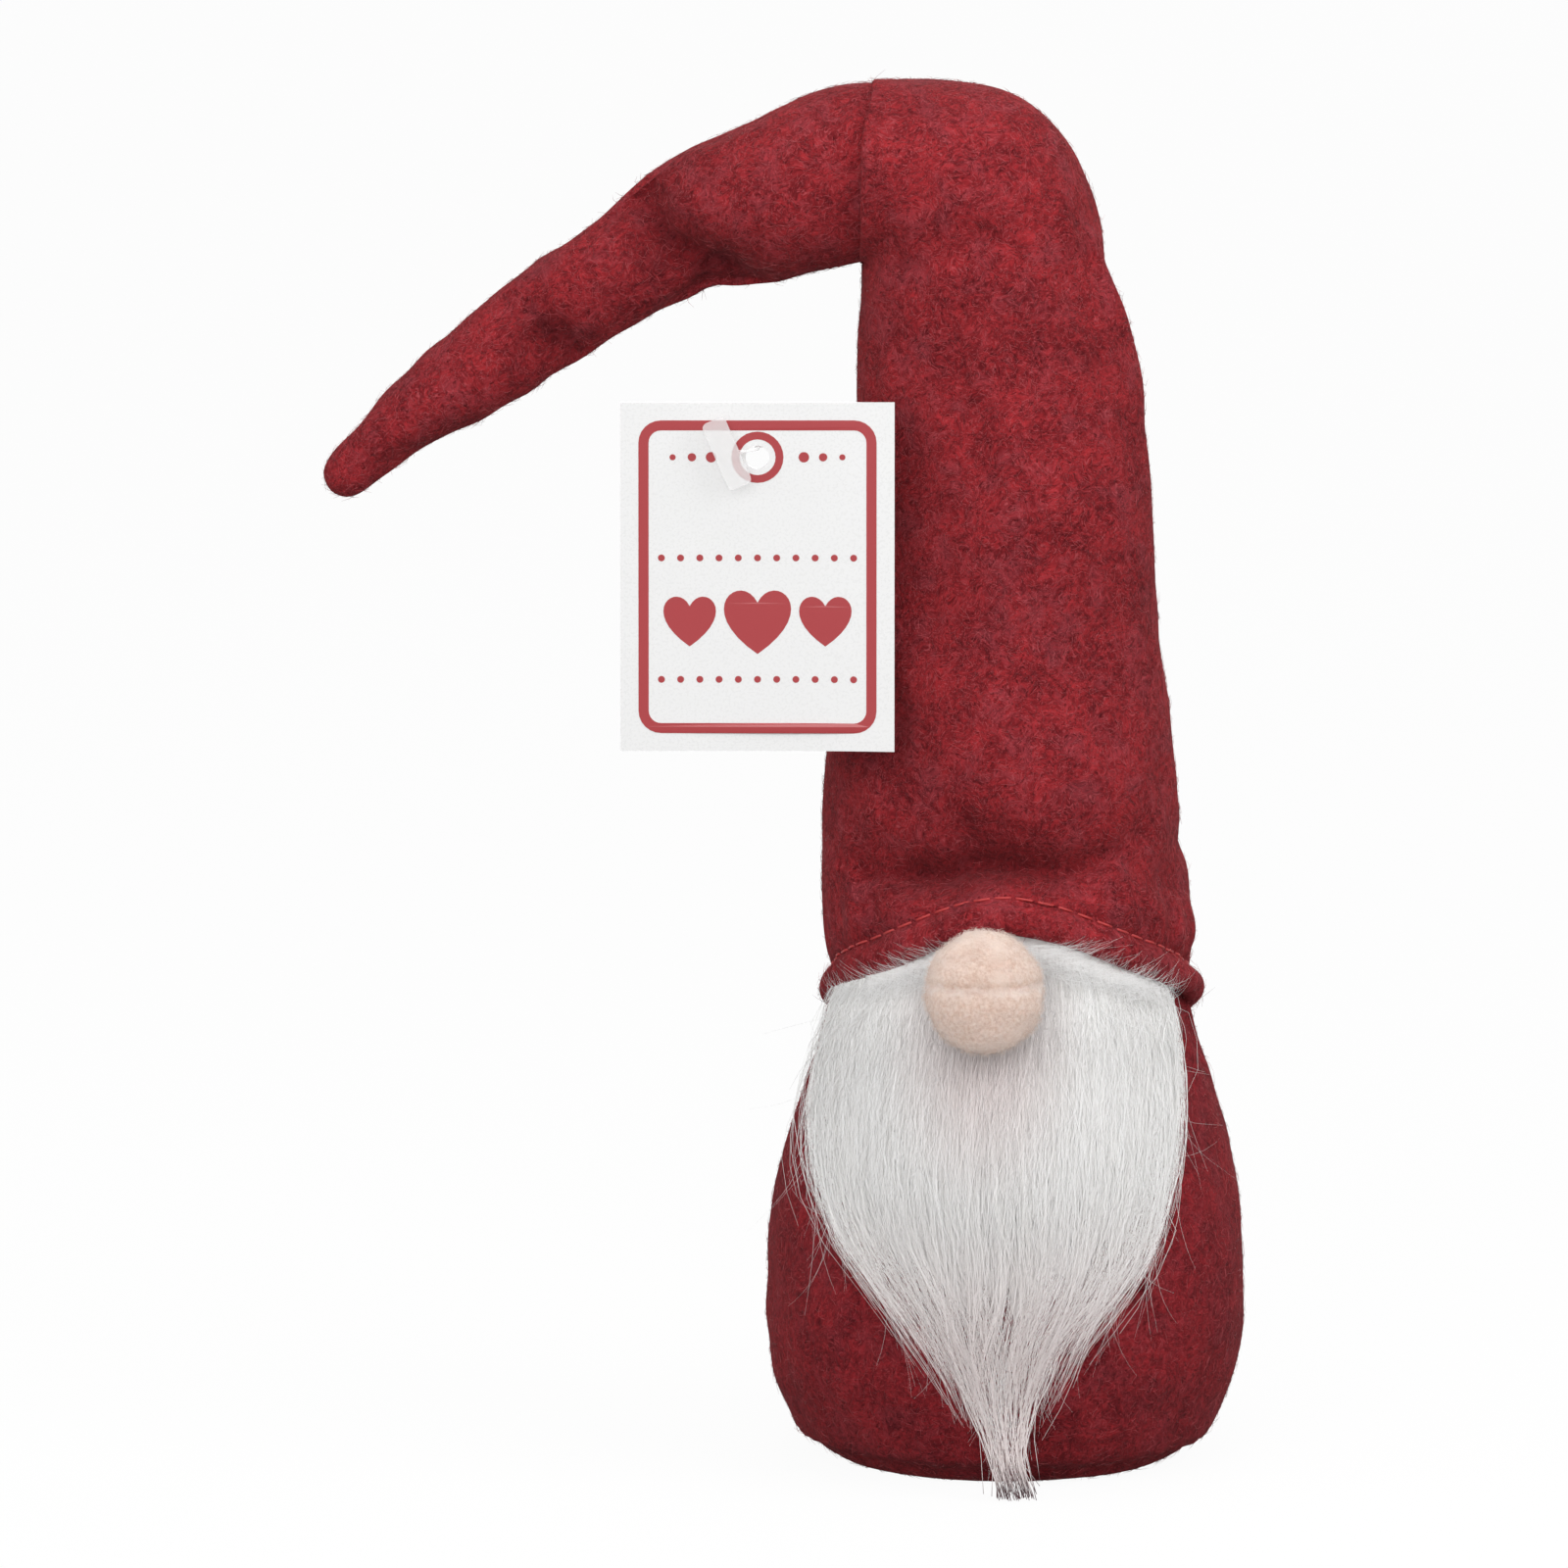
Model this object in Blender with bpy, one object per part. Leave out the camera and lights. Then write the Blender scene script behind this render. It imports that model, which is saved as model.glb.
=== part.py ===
"""Tomte gnome figurine, about 25 cm tall: a felt sack body with ballast, a tall felt hat whose
wired tip bends at a fold, a beard of long pile, a fleece nose and a card tag on a plastic pin.

Metres, +Z up. The figurine faces -Y, and the origin is the centre of its base on the table.
"""

import math

import bmesh
import bpy
from mathutils import Matrix, Vector

# Cloth thicknesses and clearances
FELT = 0.0016
FLEECE = 0.0009
BACKING = 0.0008
GAP = 0.0003
FACET_ROOM = 0.0003

# Body sack: flat base, round belly, shoulder under the hat's hem, gathered neck
BASE_RADIUS = 0.0285
BODY_RADIUS = 0.0424
BELLY_HEIGHT = 0.0310
SHOULDER_RADIUS = 0.0325
SHOULDER_BELOW_HEM = 0.0030
CROWN_HEIGHT = 0.0275
NECK_RADIUS = 0.0080
NECK_HEIGHT = 0.0060
BALLAST_HEIGHT = 0.0220
GATHER_THREAD_RADIUS = 0.0006

# Hat: hem over the shoulder, waist, and the fold where the tip comes out to the left
HEM_SIDE_HEIGHT = 0.0815
HEM_TILT = 0.0125
HEM_NOSE_LIFT = 0.0055
HEM_BAND = 0.0065
HEM_PUFF = 0.0008
HAT_RADIUS = 0.0327
HAT_WIDE_ABOVE_HEM = 0.0245
WAIST_RADIUS = 0.0270
WAIST_HEIGHT = 0.1520
FOLD_LEFT = 0.0257
FOLD_WIDTH = 0.0458
FOLD_DEPTH = 0.0205
FOLD_CORNER = 0.0008
FOLD_EDGE_SHARE = 0.78
HAT_HEIGHT = 0.2475
DOME_SQUARENESS = 2.6

# Hat tip: a bent cone that turns at a knuckle just outside the fold's edge
TIP_ROOT_RADIUS = 0.0144
TIP_MID_RADIUS = 0.0088
TIP_END_RADIUS = 0.0046
TIP_FLATNESS = 0.93
TIP_REACH = 0.0900
TIP_DROP = 0.0565
TIP_ROOT_SLOPE = math.radians(16)
TIP_END_SLOPE = math.radians(48)
TIP_ROOT_PULL = 0.0380
TIP_END_PULL = 0.0280
KNUCKLE_OUT = 0.0023
KNUCKLE_GAP = 0.0006
KNUCKLE_WRAP = math.radians(40)
DROOP_ROOM = 0.0060
DROOP_LIMIT = math.radians(30)
DROOP_SHARE = 0.4
TIP_FILL_START_SHARE = 0.06
TIP_FILL_END_SHARE = 0.94

# Bending wire of the hat
WIRE_RADIUS = 0.0009
WIRE_FOOT = 0.0200
WIRE_ENTRY_SLOPE = math.radians(14)
WIRE_TIP_SHARE = 0.88

# Beard: a fur patch whose lower pile hangs free
BEARD_HALF_ANGLE = math.radians(78)
BEARD_TIP_ANGLE = math.radians(5)
BEARD_TAPER = 1.15
BEARD_HINGE_BELOW_HEM = 0.0345
BEARD_HINGE_CLEARANCE = 0.0012
BEARD_HINGE_INSET = 0.0004
BEARD_FLOOR_CLEARANCE = 0.0008
PILE_THICKNESS = 0.0050
PILE_ROOT_THICKNESS = 0.0020
PILE_EDGE_SHARE = 0.3
PATCH_TUCK = 0.0040

# Nose
NOSE_WIDTH = 0.0204
NOSE_HEIGHT = 0.0225
NOSE_DEPTH = 0.0200
NOSE_SIDE = -0.0037
NOSE_ABOVE_HEM = 0.0099
NOSE_GATHER_RADIUS = 0.0030

# Gift tag and its pin
TAG_WIDTH = 0.0485
TAG_LENGTH = 0.0625
TAG_CARD = 0.0005
TAG_CURL = 0.0012
TAG_HOLE_RADIUS = 0.0021
TAG_HOLE_DROP = 0.0098
TAG_HOLE_OUT = 0.0181
TAG_HOLE_LEVEL = 0.1853
TAG_CLEARANCE = 0.0015
FILAMENT_RADIUS = 0.00035
PADDLE_LENGTH = 0.0128
PADDLE_WIDTH = 0.0044
PADDLE_THICKNESS = 0.0010
PADDLE_SIDE = 0.0054
PADDLE_TILT = math.radians(23.5)
PADDLE_STANDOFF = 0.0030
TBAR_LENGTH = 0.0090
TBAR_RADIUS = 0.0006
PIN_ANGLE = math.radians(30)
PIN_STUB = 0.0045

# Mesh fineness
BODY_SEGMENTS = 36
HAT_SEGMENTS = 36
TIP_SEGMENTS = 28
CORE_SEGMENTS = 20
WIRE_SIDES = 8

# Places worked out from the sizes above
SHOULDER_HEIGHT = HEM_SIDE_HEIGHT - SHOULDER_BELOW_HEM
HAT_WIDE_HEIGHT = HEM_SIDE_HEIGHT + HAT_WIDE_ABOVE_HEM
BEARD_HINGE_HEIGHT = HEM_SIDE_HEIGHT - BEARD_HINGE_BELOW_HEM
NOSE_LEVEL = HEM_SIDE_HEIGHT + NOSE_ABOVE_HEM
PATCH_SIDES = [side / 8 for side in range(-8, 9)]
KNUCKLE = Vector((-FOLD_LEFT - KNUCKLE_OUT, 0, HAT_HEIGHT - FELT - KNUCKLE_GAP - TIP_ROOT_RADIUS))
THROAT_HEIGHT = KNUCKLE.z - TIP_ROOT_RADIUS - DROOP_ROOM
FOLD_CENTRE = Vector((-FOLD_LEFT - FOLD_CORNER, 0, THROAT_HEIGHT))
RIM_DEPTH = TIP_ROOT_RADIUS * TIP_FLATNESS + 3 * GAP + FELT
CROWN_TOP = SHOULDER_HEIGHT + CROWN_HEIGHT
NECK_TOP = CROWN_TOP + NECK_HEIGHT
LINING = FELT + GAP
ON_SACK = GAP + FACET_ROOM


# Small tools shared by the pieces

def ease(share):
    """0 to 1 along a smooth S, flat at both ends."""
    share = min(1.0, max(0.0, share))
    return share * share * (3 - 2 * share)


def between(first, last, share):
    return first + (last - first) * share


def steps(count):
    """Evenly spaced shares from 0 to 1, both ends included."""
    return [i / count for i in range(count + 1)]


def bezier_point(a, b, c, d, share):
    rest = 1 - share
    return a * rest**3 + b * (3 * rest**2 * share) + c * (3 * rest * share**2) + d * share**3


def smooth_route(points, per_span):
    """A smooth curve through the points, as a list of places."""
    ends = [2 * points[0] - points[1], *points, 2 * points[-1] - points[-2]]
    route = []
    for before, start, stop, after in zip(ends, ends[1:], ends[2:], ends[3:]):
        pull_start = start + (stop - before) / 6
        pull_stop = stop - (after - start) / 6
        for i in range(per_span):
            route.append(bezier_point(start, pull_start, pull_stop, stop, i / per_span))
    return route + [points[-1]]


def material(name, colour, roughness):
    made = bpy.data.materials.new(name)
    made.use_nodes = True
    shader = made.node_tree.nodes["Principled BSDF"]
    shader.inputs["Base Color"].default_value = (*colour, 1)
    shader.inputs["Roughness"].default_value = roughness
    made.diffuse_color = (*colour, 1)
    return made


def place(name, mesh, finish=None):
    """A new object for this mesh, with smooth shading and its material."""
    mesh.name = name
    mesh.shade_smooth()
    mesh.set_sharp_from_angle(angle=math.radians(45))
    if finish:
        mesh.materials.append(finish)
    piece = bpy.data.objects.new(name, mesh)
    bpy.context.scene.collection.objects.link(piece)
    return piece


def mesh_of(bm):
    bmesh.ops.recalc_face_normals(bm, faces=bm.faces)
    mesh = bpy.data.meshes.new("piece")
    bm.to_mesh(mesh)
    bm.free()
    return mesh


def lathe(profile, segments):
    """The solid that a closed (radius, height) outline sweeps round Z; it may start and end on Z."""
    bm = bmesh.new()
    points = [bm.verts.new((radius, 0, height)) for radius, height in profile]
    edges = [bm.edges.new(pair) for pair in zip(points, points[1:])]
    if profile[0][0] > 0:
        edges.append(bm.edges.new((points[-1], points[0])))
    bmesh.ops.spin(bm, geom=points + edges, axis=(0, 0, 1), angle=2 * math.pi, steps=segments, use_merge=True)
    bmesh.ops.remove_doubles(bm, verts=bm.verts, dist=1e-6)
    return mesh_of(bm)


def ring_edges(bm, places):
    """A closed loop of edges through these places."""
    points = [bm.verts.new(position) for position in places]
    return [bm.edges.new(pair) for pair in zip(points, points[1:] + points[:1])]


def loft(rings, close_first=False, close_last=False):
    """The skin through closed rings with equal counts of points, with or without end faces."""
    bm = bmesh.new()
    loops = [ring_edges(bm, ring) for ring in rings]
    for loop, following in zip(loops, loops[1:]):
        bmesh.ops.bridge_loops(bm, edges=loop + following)
    for loop, closed in ((loops[0], close_first), (loops[-1], close_last)):
        if closed:
            bmesh.ops.contextual_create(bm, geom=loop)
    return mesh_of(bm)


def band_loft(rows):
    """A closed solid through rows, each a pair of arcs: the inner one, then the outer one."""
    bm = bmesh.new()
    loops = [ring_edges(bm, inner + outer[::-1]) for inner, outer in rows]
    for loop, following in zip(loops, loops[1:]):
        bmesh.ops.bridge_loops(bm, edges=loop + following)
    count = len(rows[0][0])
    for loop in (loops[0], loops[-1]):
        inner = loop[: count - 1]
        outer = loop[count : 2 * count - 1]
        bmesh.ops.bridge_loops(bm, edges=inner + outer)
    return mesh_of(bm)


def tube(route, radius):
    """A round bar along a route, with closed ends."""
    curve = bpy.data.curves.new("route", "CURVE")
    curve.dimensions = "3D"
    curve.bevel_depth = radius
    curve.bevel_resolution = WIRE_SIDES // 4
    curve.use_fill_caps = True
    spline = curve.splines.new("POLY")
    spline.points.add(len(route) - 1)
    for point, position in zip(spline.points, route):
        point.co = (*position, 1)
    guide = bpy.data.objects.new("route", curve)
    mesh = bpy.data.meshes.new_from_object(guide)
    bpy.data.objects.remove(guide)
    bm = bmesh.new()
    bm.from_mesh(mesh)
    bmesh.ops.remove_doubles(bm, verts=bm.verts, dist=1e-6)
    return mesh_of(bm)


def cutter(name, mesh):
    tool = place(name, mesh)
    tool.hide_render = True
    tool.display_type = "WIRE"
    return tool


def combine(piece, tool, operation="DIFFERENCE"):
    change = piece.modifiers.new(tool.name, "BOOLEAN")
    change.operation = operation
    change.object = tool


def thicken(piece, thickness, offset=-1):
    wall = piece.modifiers.new("wall", "SOLIDIFY")
    wall.thickness = thickness
    wall.offset = offset
    wall.use_even_offset = True


def hang_on(pivot_name, pivot, pieces):
    """Puts the pieces under an empty on their joint's axis, without moving them."""
    axis = bpy.data.objects.new(pivot_name, None)
    axis.location = pivot
    bpy.context.scene.collection.objects.link(axis)
    for piece in pieces:
        piece.data.transform(Matrix.Translation(-pivot))
        piece.parent = axis


# Body: sack, base, ballast, stuffing and the thread that closes the neck

def sack_radius(height):
    """Outer radius of the sack: a quarter ellipse to the belly, a parabola, a quarter ellipse to the neck."""
    if height < BELLY_HEIGHT:
        below = 1 - max(0.0, height) / BELLY_HEIGHT
        return BASE_RADIUS + (BODY_RADIUS - BASE_RADIUS) * math.sqrt(1 - below**2)
    if height < SHOULDER_HEIGHT:
        up = (height - BELLY_HEIGHT) / (SHOULDER_HEIGHT - BELLY_HEIGHT)
        return BODY_RADIUS - (BODY_RADIUS - SHOULDER_RADIUS) * up**2
    up = min(1.0, (height - SHOULDER_HEIGHT) / CROWN_HEIGHT)
    return NECK_RADIUS + (SHOULDER_RADIUS - NECK_RADIUS) * math.sqrt(1 - up**2)


def sack_outline():
    """(radius, height) from the base's edge up to the top of the crown."""
    turns = [share * math.pi / 2 for share in steps(5)]
    heights = [BELLY_HEIGHT * (1 - math.cos(turn)) for turn in turns]
    heights += [between(BELLY_HEIGHT, SHOULDER_HEIGHT, share) for share in steps(4)[1:]]
    heights += [SHOULDER_HEIGHT + CROWN_HEIGHT * math.sin(turn) for turn in turns[1:]]
    return [(sack_radius(height), height) for height in heights]


def inset_outline(outline, inset):
    """The outline moved inwards, as the inner face of a wall."""
    moved = []
    for i, (radius, height) in enumerate(outline):
        before = Vector(outline[max(i - 1, 0)])
        after = Vector(outline[min(i + 1, len(outline) - 1)])
        along = (after - before).normalized()
        moved.append((radius - along.y * inset, height + along.x * inset))
    moved[0] = (outline[0][0], outline[0][1] + inset)
    moved[-1] = (outline[-1][0], outline[-1][1] - inset)
    return moved


def clip_outline(outline, low, high):
    """The part of a rising outline between two heights, with its ends worked out there."""
    def at(level):
        for (r0, z0), (r1, z1) in zip(outline, outline[1:]):
            if z0 <= level <= z1:
                return (between(r0, r1, (level - z0) / (z1 - z0)), level)
        return (outline[-1][0], level)

    inside = [(radius, height) for radius, height in outline if low < height < high]
    return [at(low), *inside, at(high)]


def make_body():
    felt = material("body_felt", (0.21, 0.024, 0.031), 0.95)
    outer = sack_outline() + [(NECK_RADIUS, NECK_TOP)]
    inner = inset_outline(sack_outline(), FELT)
    inner[-1] = (NECK_RADIUS - FELT, CROWN_TOP - FELT)
    inner.append((NECK_RADIUS - FELT, NECK_TOP))
    place("body_sack", lathe(outer + inner[::-1], BODY_SEGMENTS), felt)

    disc = [(0, 0), (BASE_RADIUS - GAP, 0), (BASE_RADIUS - GAP, FELT), (0, FELT)]
    place("base_disc", lathe(disc, BODY_SEGMENTS), material("base_felt", (0.20, 0.023, 0.03), 0.95))

    lining = inset_outline(sack_outline(), LINING)
    pouch = clip_outline(lining, LINING, BALLAST_HEIGHT)
    granules = material("ballast_pouch", (0.75, 0.72, 0.65), 0.9)
    place("ballast_pouch", lathe([(0, LINING), *pouch, (0, BALLAST_HEIGHT)], CORE_SEGMENTS), granules)

    filling = clip_outline(lining, BALLAST_HEIGHT + GAP, lining[-1][1])
    filling = [(0, BALLAST_HEIGHT + GAP), *filling, (0, lining[-1][1])]
    fibre = material("body_stuffing", (0.9, 0.9, 0.88), 1.0)
    stuffing = place("body_stuffing", lathe(filling, CORE_SEGMENTS), fibre)

    thread_middle = NECK_RADIUS + GAP + GATHER_THREAD_RADIUS
    level = CROWN_TOP + NECK_HEIGHT / 2
    turns = [share * 2 * math.pi for share in steps(8)[:-1]]
    ring = [
        (
            thread_middle + GATHER_THREAD_RADIUS * math.cos(turn),
            level - GATHER_THREAD_RADIUS * math.sin(turn),
        )
        for turn in turns
    ]
    place("gather_thread", lathe(ring, CORE_SEGMENTS), material("gather_thread", (0.3, 0.03, 0.04), 0.8))
    return stuffing


# Hat: one sewn cone, bent to the left at the fold; the upright part ends in a dome open to the left

def hem_height(turn):
    """Height of the hem's lower edge; turn runs from the left (0) over the front to the right (pi)."""
    front = math.sin(turn)
    return HEM_SIDE_HEIGHT + HEM_TILT * front + HEM_NOSE_LIFT * max(0.0, front) ** 6


def hat_left(height):
    edge_start = between(HAT_WIDE_HEIGHT, THROAT_HEIGHT, FOLD_EDGE_SHARE)
    up = (height - HAT_WIDE_HEIGHT) / (edge_start - HAT_WIDE_HEIGHT)
    return -between(HAT_RADIUS, FOLD_LEFT, min(1.0, max(0.0, up)))


def hat_right(height):
    if height < WAIST_HEIGHT:
        drawn_in = ease((height - HAT_WIDE_HEIGHT) / (WAIST_HEIGHT - HAT_WIDE_HEIGHT))
        return between(HAT_RADIUS, WAIST_RADIUS, drawn_in)
    up = (height - WAIST_HEIGHT) / (THROAT_HEIGHT - WAIST_HEIGHT)
    return between(WAIST_RADIUS, FOLD_WIDTH - FOLD_LEFT, max(0.0, up) ** 3)


def hat_depth(height):
    """Half the hat's depth, front to back."""
    up = (height - HAT_WIDE_HEIGHT) / (THROAT_HEIGHT - HAT_WIDE_HEIGHT)
    return between(HAT_RADIUS, FOLD_DEPTH, max(0.0, up))


def hat_point(turn, height, inset=0.0, puff=0.0):
    """A place on the upright, kept outside the sack and the tucked edge of the beard."""
    left = hat_left(height) + inset
    right = hat_right(height) - inset
    x = (left + right) / 2 - (right - left) / 2 * math.cos(turn)
    y = -(hat_depth(height) - inset) * math.sin(turn)
    tucked = (BACKING + GAP) * ease(4 * (math.sin(turn) - math.cos(BEARD_HALF_ANGLE)) + 1)
    seat = sack_radius(height) + ON_SACK + FELT + tucked - inset
    outwards = max(1.0, seat / math.hypot(x, y)) * (1 + puff / HAT_RADIUS)
    return Vector((x * outwards, y * outwards, height))


def fold_point(turn, lean, inset=0.0):
    """A place on the dome, in the half plane that leans by this angle about the fold's corner."""
    across = FOLD_WIDTH + FOLD_CORNER
    up = HAT_HEIGHT - THROAT_HEIGHT
    power = DOME_SQUARENESS
    reach = ((math.cos(lean) / across) ** power + (math.sin(lean) / up) ** power) ** (-1 / power)
    near = FOLD_CORNER + inset
    far = reach - inset
    out = (near + far) / 2 - (far - near) / 2 * math.cos(turn)
    depth = between(FOLD_DEPTH, RIM_DEPTH, lean / (math.pi / 2)) - inset
    direction = Vector((math.cos(lean), 0, math.sin(lean)))
    return FOLD_CENTRE + direction * out + Vector((0, -depth * math.sin(turn), 0))


def turns_of(segments):
    return [2 * math.pi * i / segments for i in range(segments)]


def upright_rings(inset, segments, first_height):
    """Rings from a level height up to the throat, then round the fold."""
    turns = turns_of(segments)
    heights = [between(first_height, THROAT_HEIGHT, share) for share in steps(6)]
    rings = [[hat_point(turn, height, inset) for turn in turns] for height in heights]
    leans = [share * math.pi / 2 for share in steps(6)[1:]]
    rings += [[fold_point(turn, lean, inset) for turn in turns] for lean in leans]
    return rings


def hem_rings():
    """Rings of the hem's band and of the dented stretch above it, up to a level ring."""
    turns = turns_of(HAT_SEGMENTS)
    rings = []
    for share, puff in ((0.0, 0.0), (0.5, HEM_PUFF), (1.0, 0.0)):
        rings.append([hat_point(turn, hem_height(turn) + share * HEM_BAND, puff=puff) for turn in turns])
    level = HEM_SIDE_HEIGHT + HEM_TILT + HEM_NOSE_LIFT + 4 * HEM_BAND
    for share in (0.35, 0.7):
        rings.append(
            [hat_point(turn, between(hem_height(turn) + HEM_BAND, level, share)) for turn in turns]
        )
    return rings, level


def tip_middle(share):
    """A place on the tip's centre line, from the knuckle (0) to the end (1)."""
    end = KNUCKLE + Vector((-TIP_REACH, 0, -TIP_DROP))
    leave = Vector((-math.cos(TIP_ROOT_SLOPE), 0, -math.sin(TIP_ROOT_SLOPE)))
    arrive = Vector((-math.cos(TIP_END_SLOPE), 0, -math.sin(TIP_END_SLOPE)))
    return bezier_point(KNUCKLE, KNUCKLE + leave * TIP_ROOT_PULL, end - arrive * TIP_END_PULL, end, share)


def tip_along(share):
    nudge = 1e-3
    return (tip_middle(share + nudge) - tip_middle(share - nudge)).normalized()


def tip_radius(share):
    rest = 1 - share
    return TIP_ROOT_RADIUS * rest**2 + TIP_MID_RADIUS * 2 * rest * share + TIP_END_RADIUS * share**2


def tip_ring(middle, along, radius, segments):
    """An upright oval across the tip's centre line."""
    up = Vector((0, 1, 0)).cross(along)
    ring = []
    for turn in turns_of(segments):
        offset = up * (radius * math.cos(turn)) + Vector((0, radius * TIP_FLATNESS * math.sin(turn), 0))
        ring.append(middle + offset)
    return ring


def tip_rings(inset, segments, shares):
    return [
        tip_ring(tip_middle(share), tip_along(share), tip_radius(share) - inset, segments) for share in shares
    ]


def lower_wire_route():
    """Up from the body's stuffing through the hat, then over to the knuckle from the right."""
    middle = (hat_left(THROAT_HEIGHT) + hat_right(THROAT_HEIGHT)) / 2
    entry = Vector((math.cos(WIRE_ENTRY_SLOPE), 0, math.sin(WIRE_ENTRY_SLOPE)))
    foot = Vector((0, 0, CROWN_TOP - WIRE_FOOT))
    bend = Vector((middle, 0, THROAT_HEIGHT - HEM_BAND))
    stop = KNUCKLE + entry * 2 * WIRE_RADIUS
    straight = [foot.lerp(bend, share) for share in steps(5)[:-1]]
    over = [
        bezier_point(bend, bend + Vector((0, 0, FOLD_DEPTH)), KNUCKLE + entry * FOLD_DEPTH, stop, share)
        for share in steps(12)
    ]
    return straight + over


def make_hat(body_stuffing):
    felt = material("hat_felt", (0.24, 0.027, 0.034), 0.95)
    fibre = material("hat_stuffing", (0.9, 0.9, 0.88), 1.0)
    steel = material("hat_wire", (0.55, 0.55, 0.56), 0.35)

    band, level = hem_rings()
    upright = place("hat_upright", loft(band + upright_rings(0, HAT_SEGMENTS, level)), felt)
    thicken(upright, FELT)

    cap = [-TIP_ROOT_RADIUS * math.sin(KNUCKLE_WRAP * share) for share in (1.0, 0.5)]
    root = tip_along(0)
    rings = [
        tip_ring(KNUCKLE + root * back, root, math.sqrt(TIP_ROOT_RADIUS**2 - back**2), TIP_SEGMENTS)
        for back in cap
    ]
    rings += tip_rings(0, TIP_SEGMENTS, steps(10))
    end = tip_along(1)
    for turn in (30, 60, 85):
        angle = math.radians(turn)
        middle = tip_middle(1) + end * TIP_END_RADIUS * math.sin(angle)
        rings.append(tip_ring(middle, end, TIP_END_RADIUS * math.cos(angle), TIP_SEGMENTS))
    tip = place("hat_tip", loft(rings, close_last=True), felt)
    thicken(tip, FELT)

    route = lower_wire_route()
    wire_room = cutter("wire_room_lower", tube(route, WIRE_RADIUS + GAP))
    lower_wire = place("hat_wire_lower", tube(route, WIRE_RADIUS), steel)
    combine(body_stuffing, wire_room)

    rings = upright_rings(LINING, CORE_SEGMENTS, NECK_TOP + GAP)
    stuffing = place("hat_stuffing", loft(rings, close_first=True, close_last=True), fibre)
    ball = bmesh.new()
    bmesh.ops.create_uvsphere(ball, u_segments=TIP_SEGMENTS, v_segments=CORE_SEGMENTS, radius=1)
    room = TIP_ROOT_RADIUS + 2 * GAP
    bmesh.ops.scale(ball, verts=ball.verts, vec=(room, RIM_DEPTH, room))
    bmesh.ops.translate(ball, verts=ball.verts, vec=KNUCKLE)
    combine(stuffing, cutter("knuckle_room", mesh_of(ball)))
    combine(stuffing, wire_room)
    swept = tip_rings(-2 * GAP, TIP_SEGMENTS, [DROOP_SHARE * share for share in steps(4)])
    droop_room = loft(swept, close_first=True, close_last=True)
    droop = Matrix.Rotation(-DROOP_LIMIT, 4, "Y")
    droop_room.transform(Matrix.Translation(KNUCKLE) @ droop @ Matrix.Translation(-KNUCKLE))
    combine(stuffing, cutter("droop_room", droop_room))

    shares = [between(TIP_FILL_START_SHARE, TIP_FILL_END_SHARE, share) for share in steps(7)]
    tip_route = [tip_middle(WIRE_TIP_SHARE * share) for share in steps(14)]
    tip_route[0] = KNUCKLE + root * 2 * WIRE_RADIUS
    core = loft(tip_rings(LINING, CORE_SEGMENTS, shares), close_first=True, close_last=True)
    tip_stuffing = place("tip_stuffing", core, fibre)
    combine(tip_stuffing, cutter("wire_room_tip", tube(tip_route, WIRE_RADIUS + GAP)))
    tip_wire = place("hat_wire_tip", tube(tip_route, WIRE_RADIUS), steel)
    hang_on("hat_bend_axis", KNUCKLE, (tip, tip_stuffing, tip_wire))
    return upright, stuffing


# Beard: woven backing on the sack, its upper pile, and the lower pile that hangs free

def beard_angle(height):
    """Half the angle that the beard covers at this height, seen from above."""
    share = min(1.0, height / HEM_SIDE_HEIGHT)
    return between(BEARD_TIP_ANGLE, BEARD_HALF_ANGLE, ease(share**BEARD_TAPER))


def front_place(angle, radius, height):
    """A place on the front, by its angle from straight ahead."""
    return Vector((radius * math.sin(angle), -radius * math.cos(angle), height))


def belly_radius(height):
    """The sack's radius, or the belly's below it, where the pile hangs straight down."""
    return sack_radius(max(height, BELLY_HEIGHT))


def pile(thickness, side):
    """Pile thickness at a place that is this share of the way from the middle to the edge."""
    return thickness * between(1.0, PILE_EDGE_SHARE, side**2)


def patch_rows(levels, inset, thickness):
    """Rows of the fur patch on the sack, one for each share of the way from the hinge to the hem.

    A share over 1 lies under the hem. thickness takes that share and the place across the patch.
    """
    rows = []
    for share in levels:
        inner, outer = [], []
        for side in PATCH_SIDES:
            level = between(BEARD_HINGE_HEIGHT, HEM_SIDE_HEIGHT, min(1.0, share))
            angle = side * beard_angle(level)
            top = hem_height(angle + math.pi / 2) - GAP + max(0.0, share - 1) * PATCH_TUCK
            height = between(BEARD_HINGE_HEIGHT + BEARD_HINGE_CLEARANCE, top, min(1.0, share))
            radius = sack_radius(height) + inset
            inner.append(front_place(angle, radius, height))
            outer.append(front_place(angle, radius + thickness(share, side), height))
        rows.append((inner, outer))
    return rows


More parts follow.
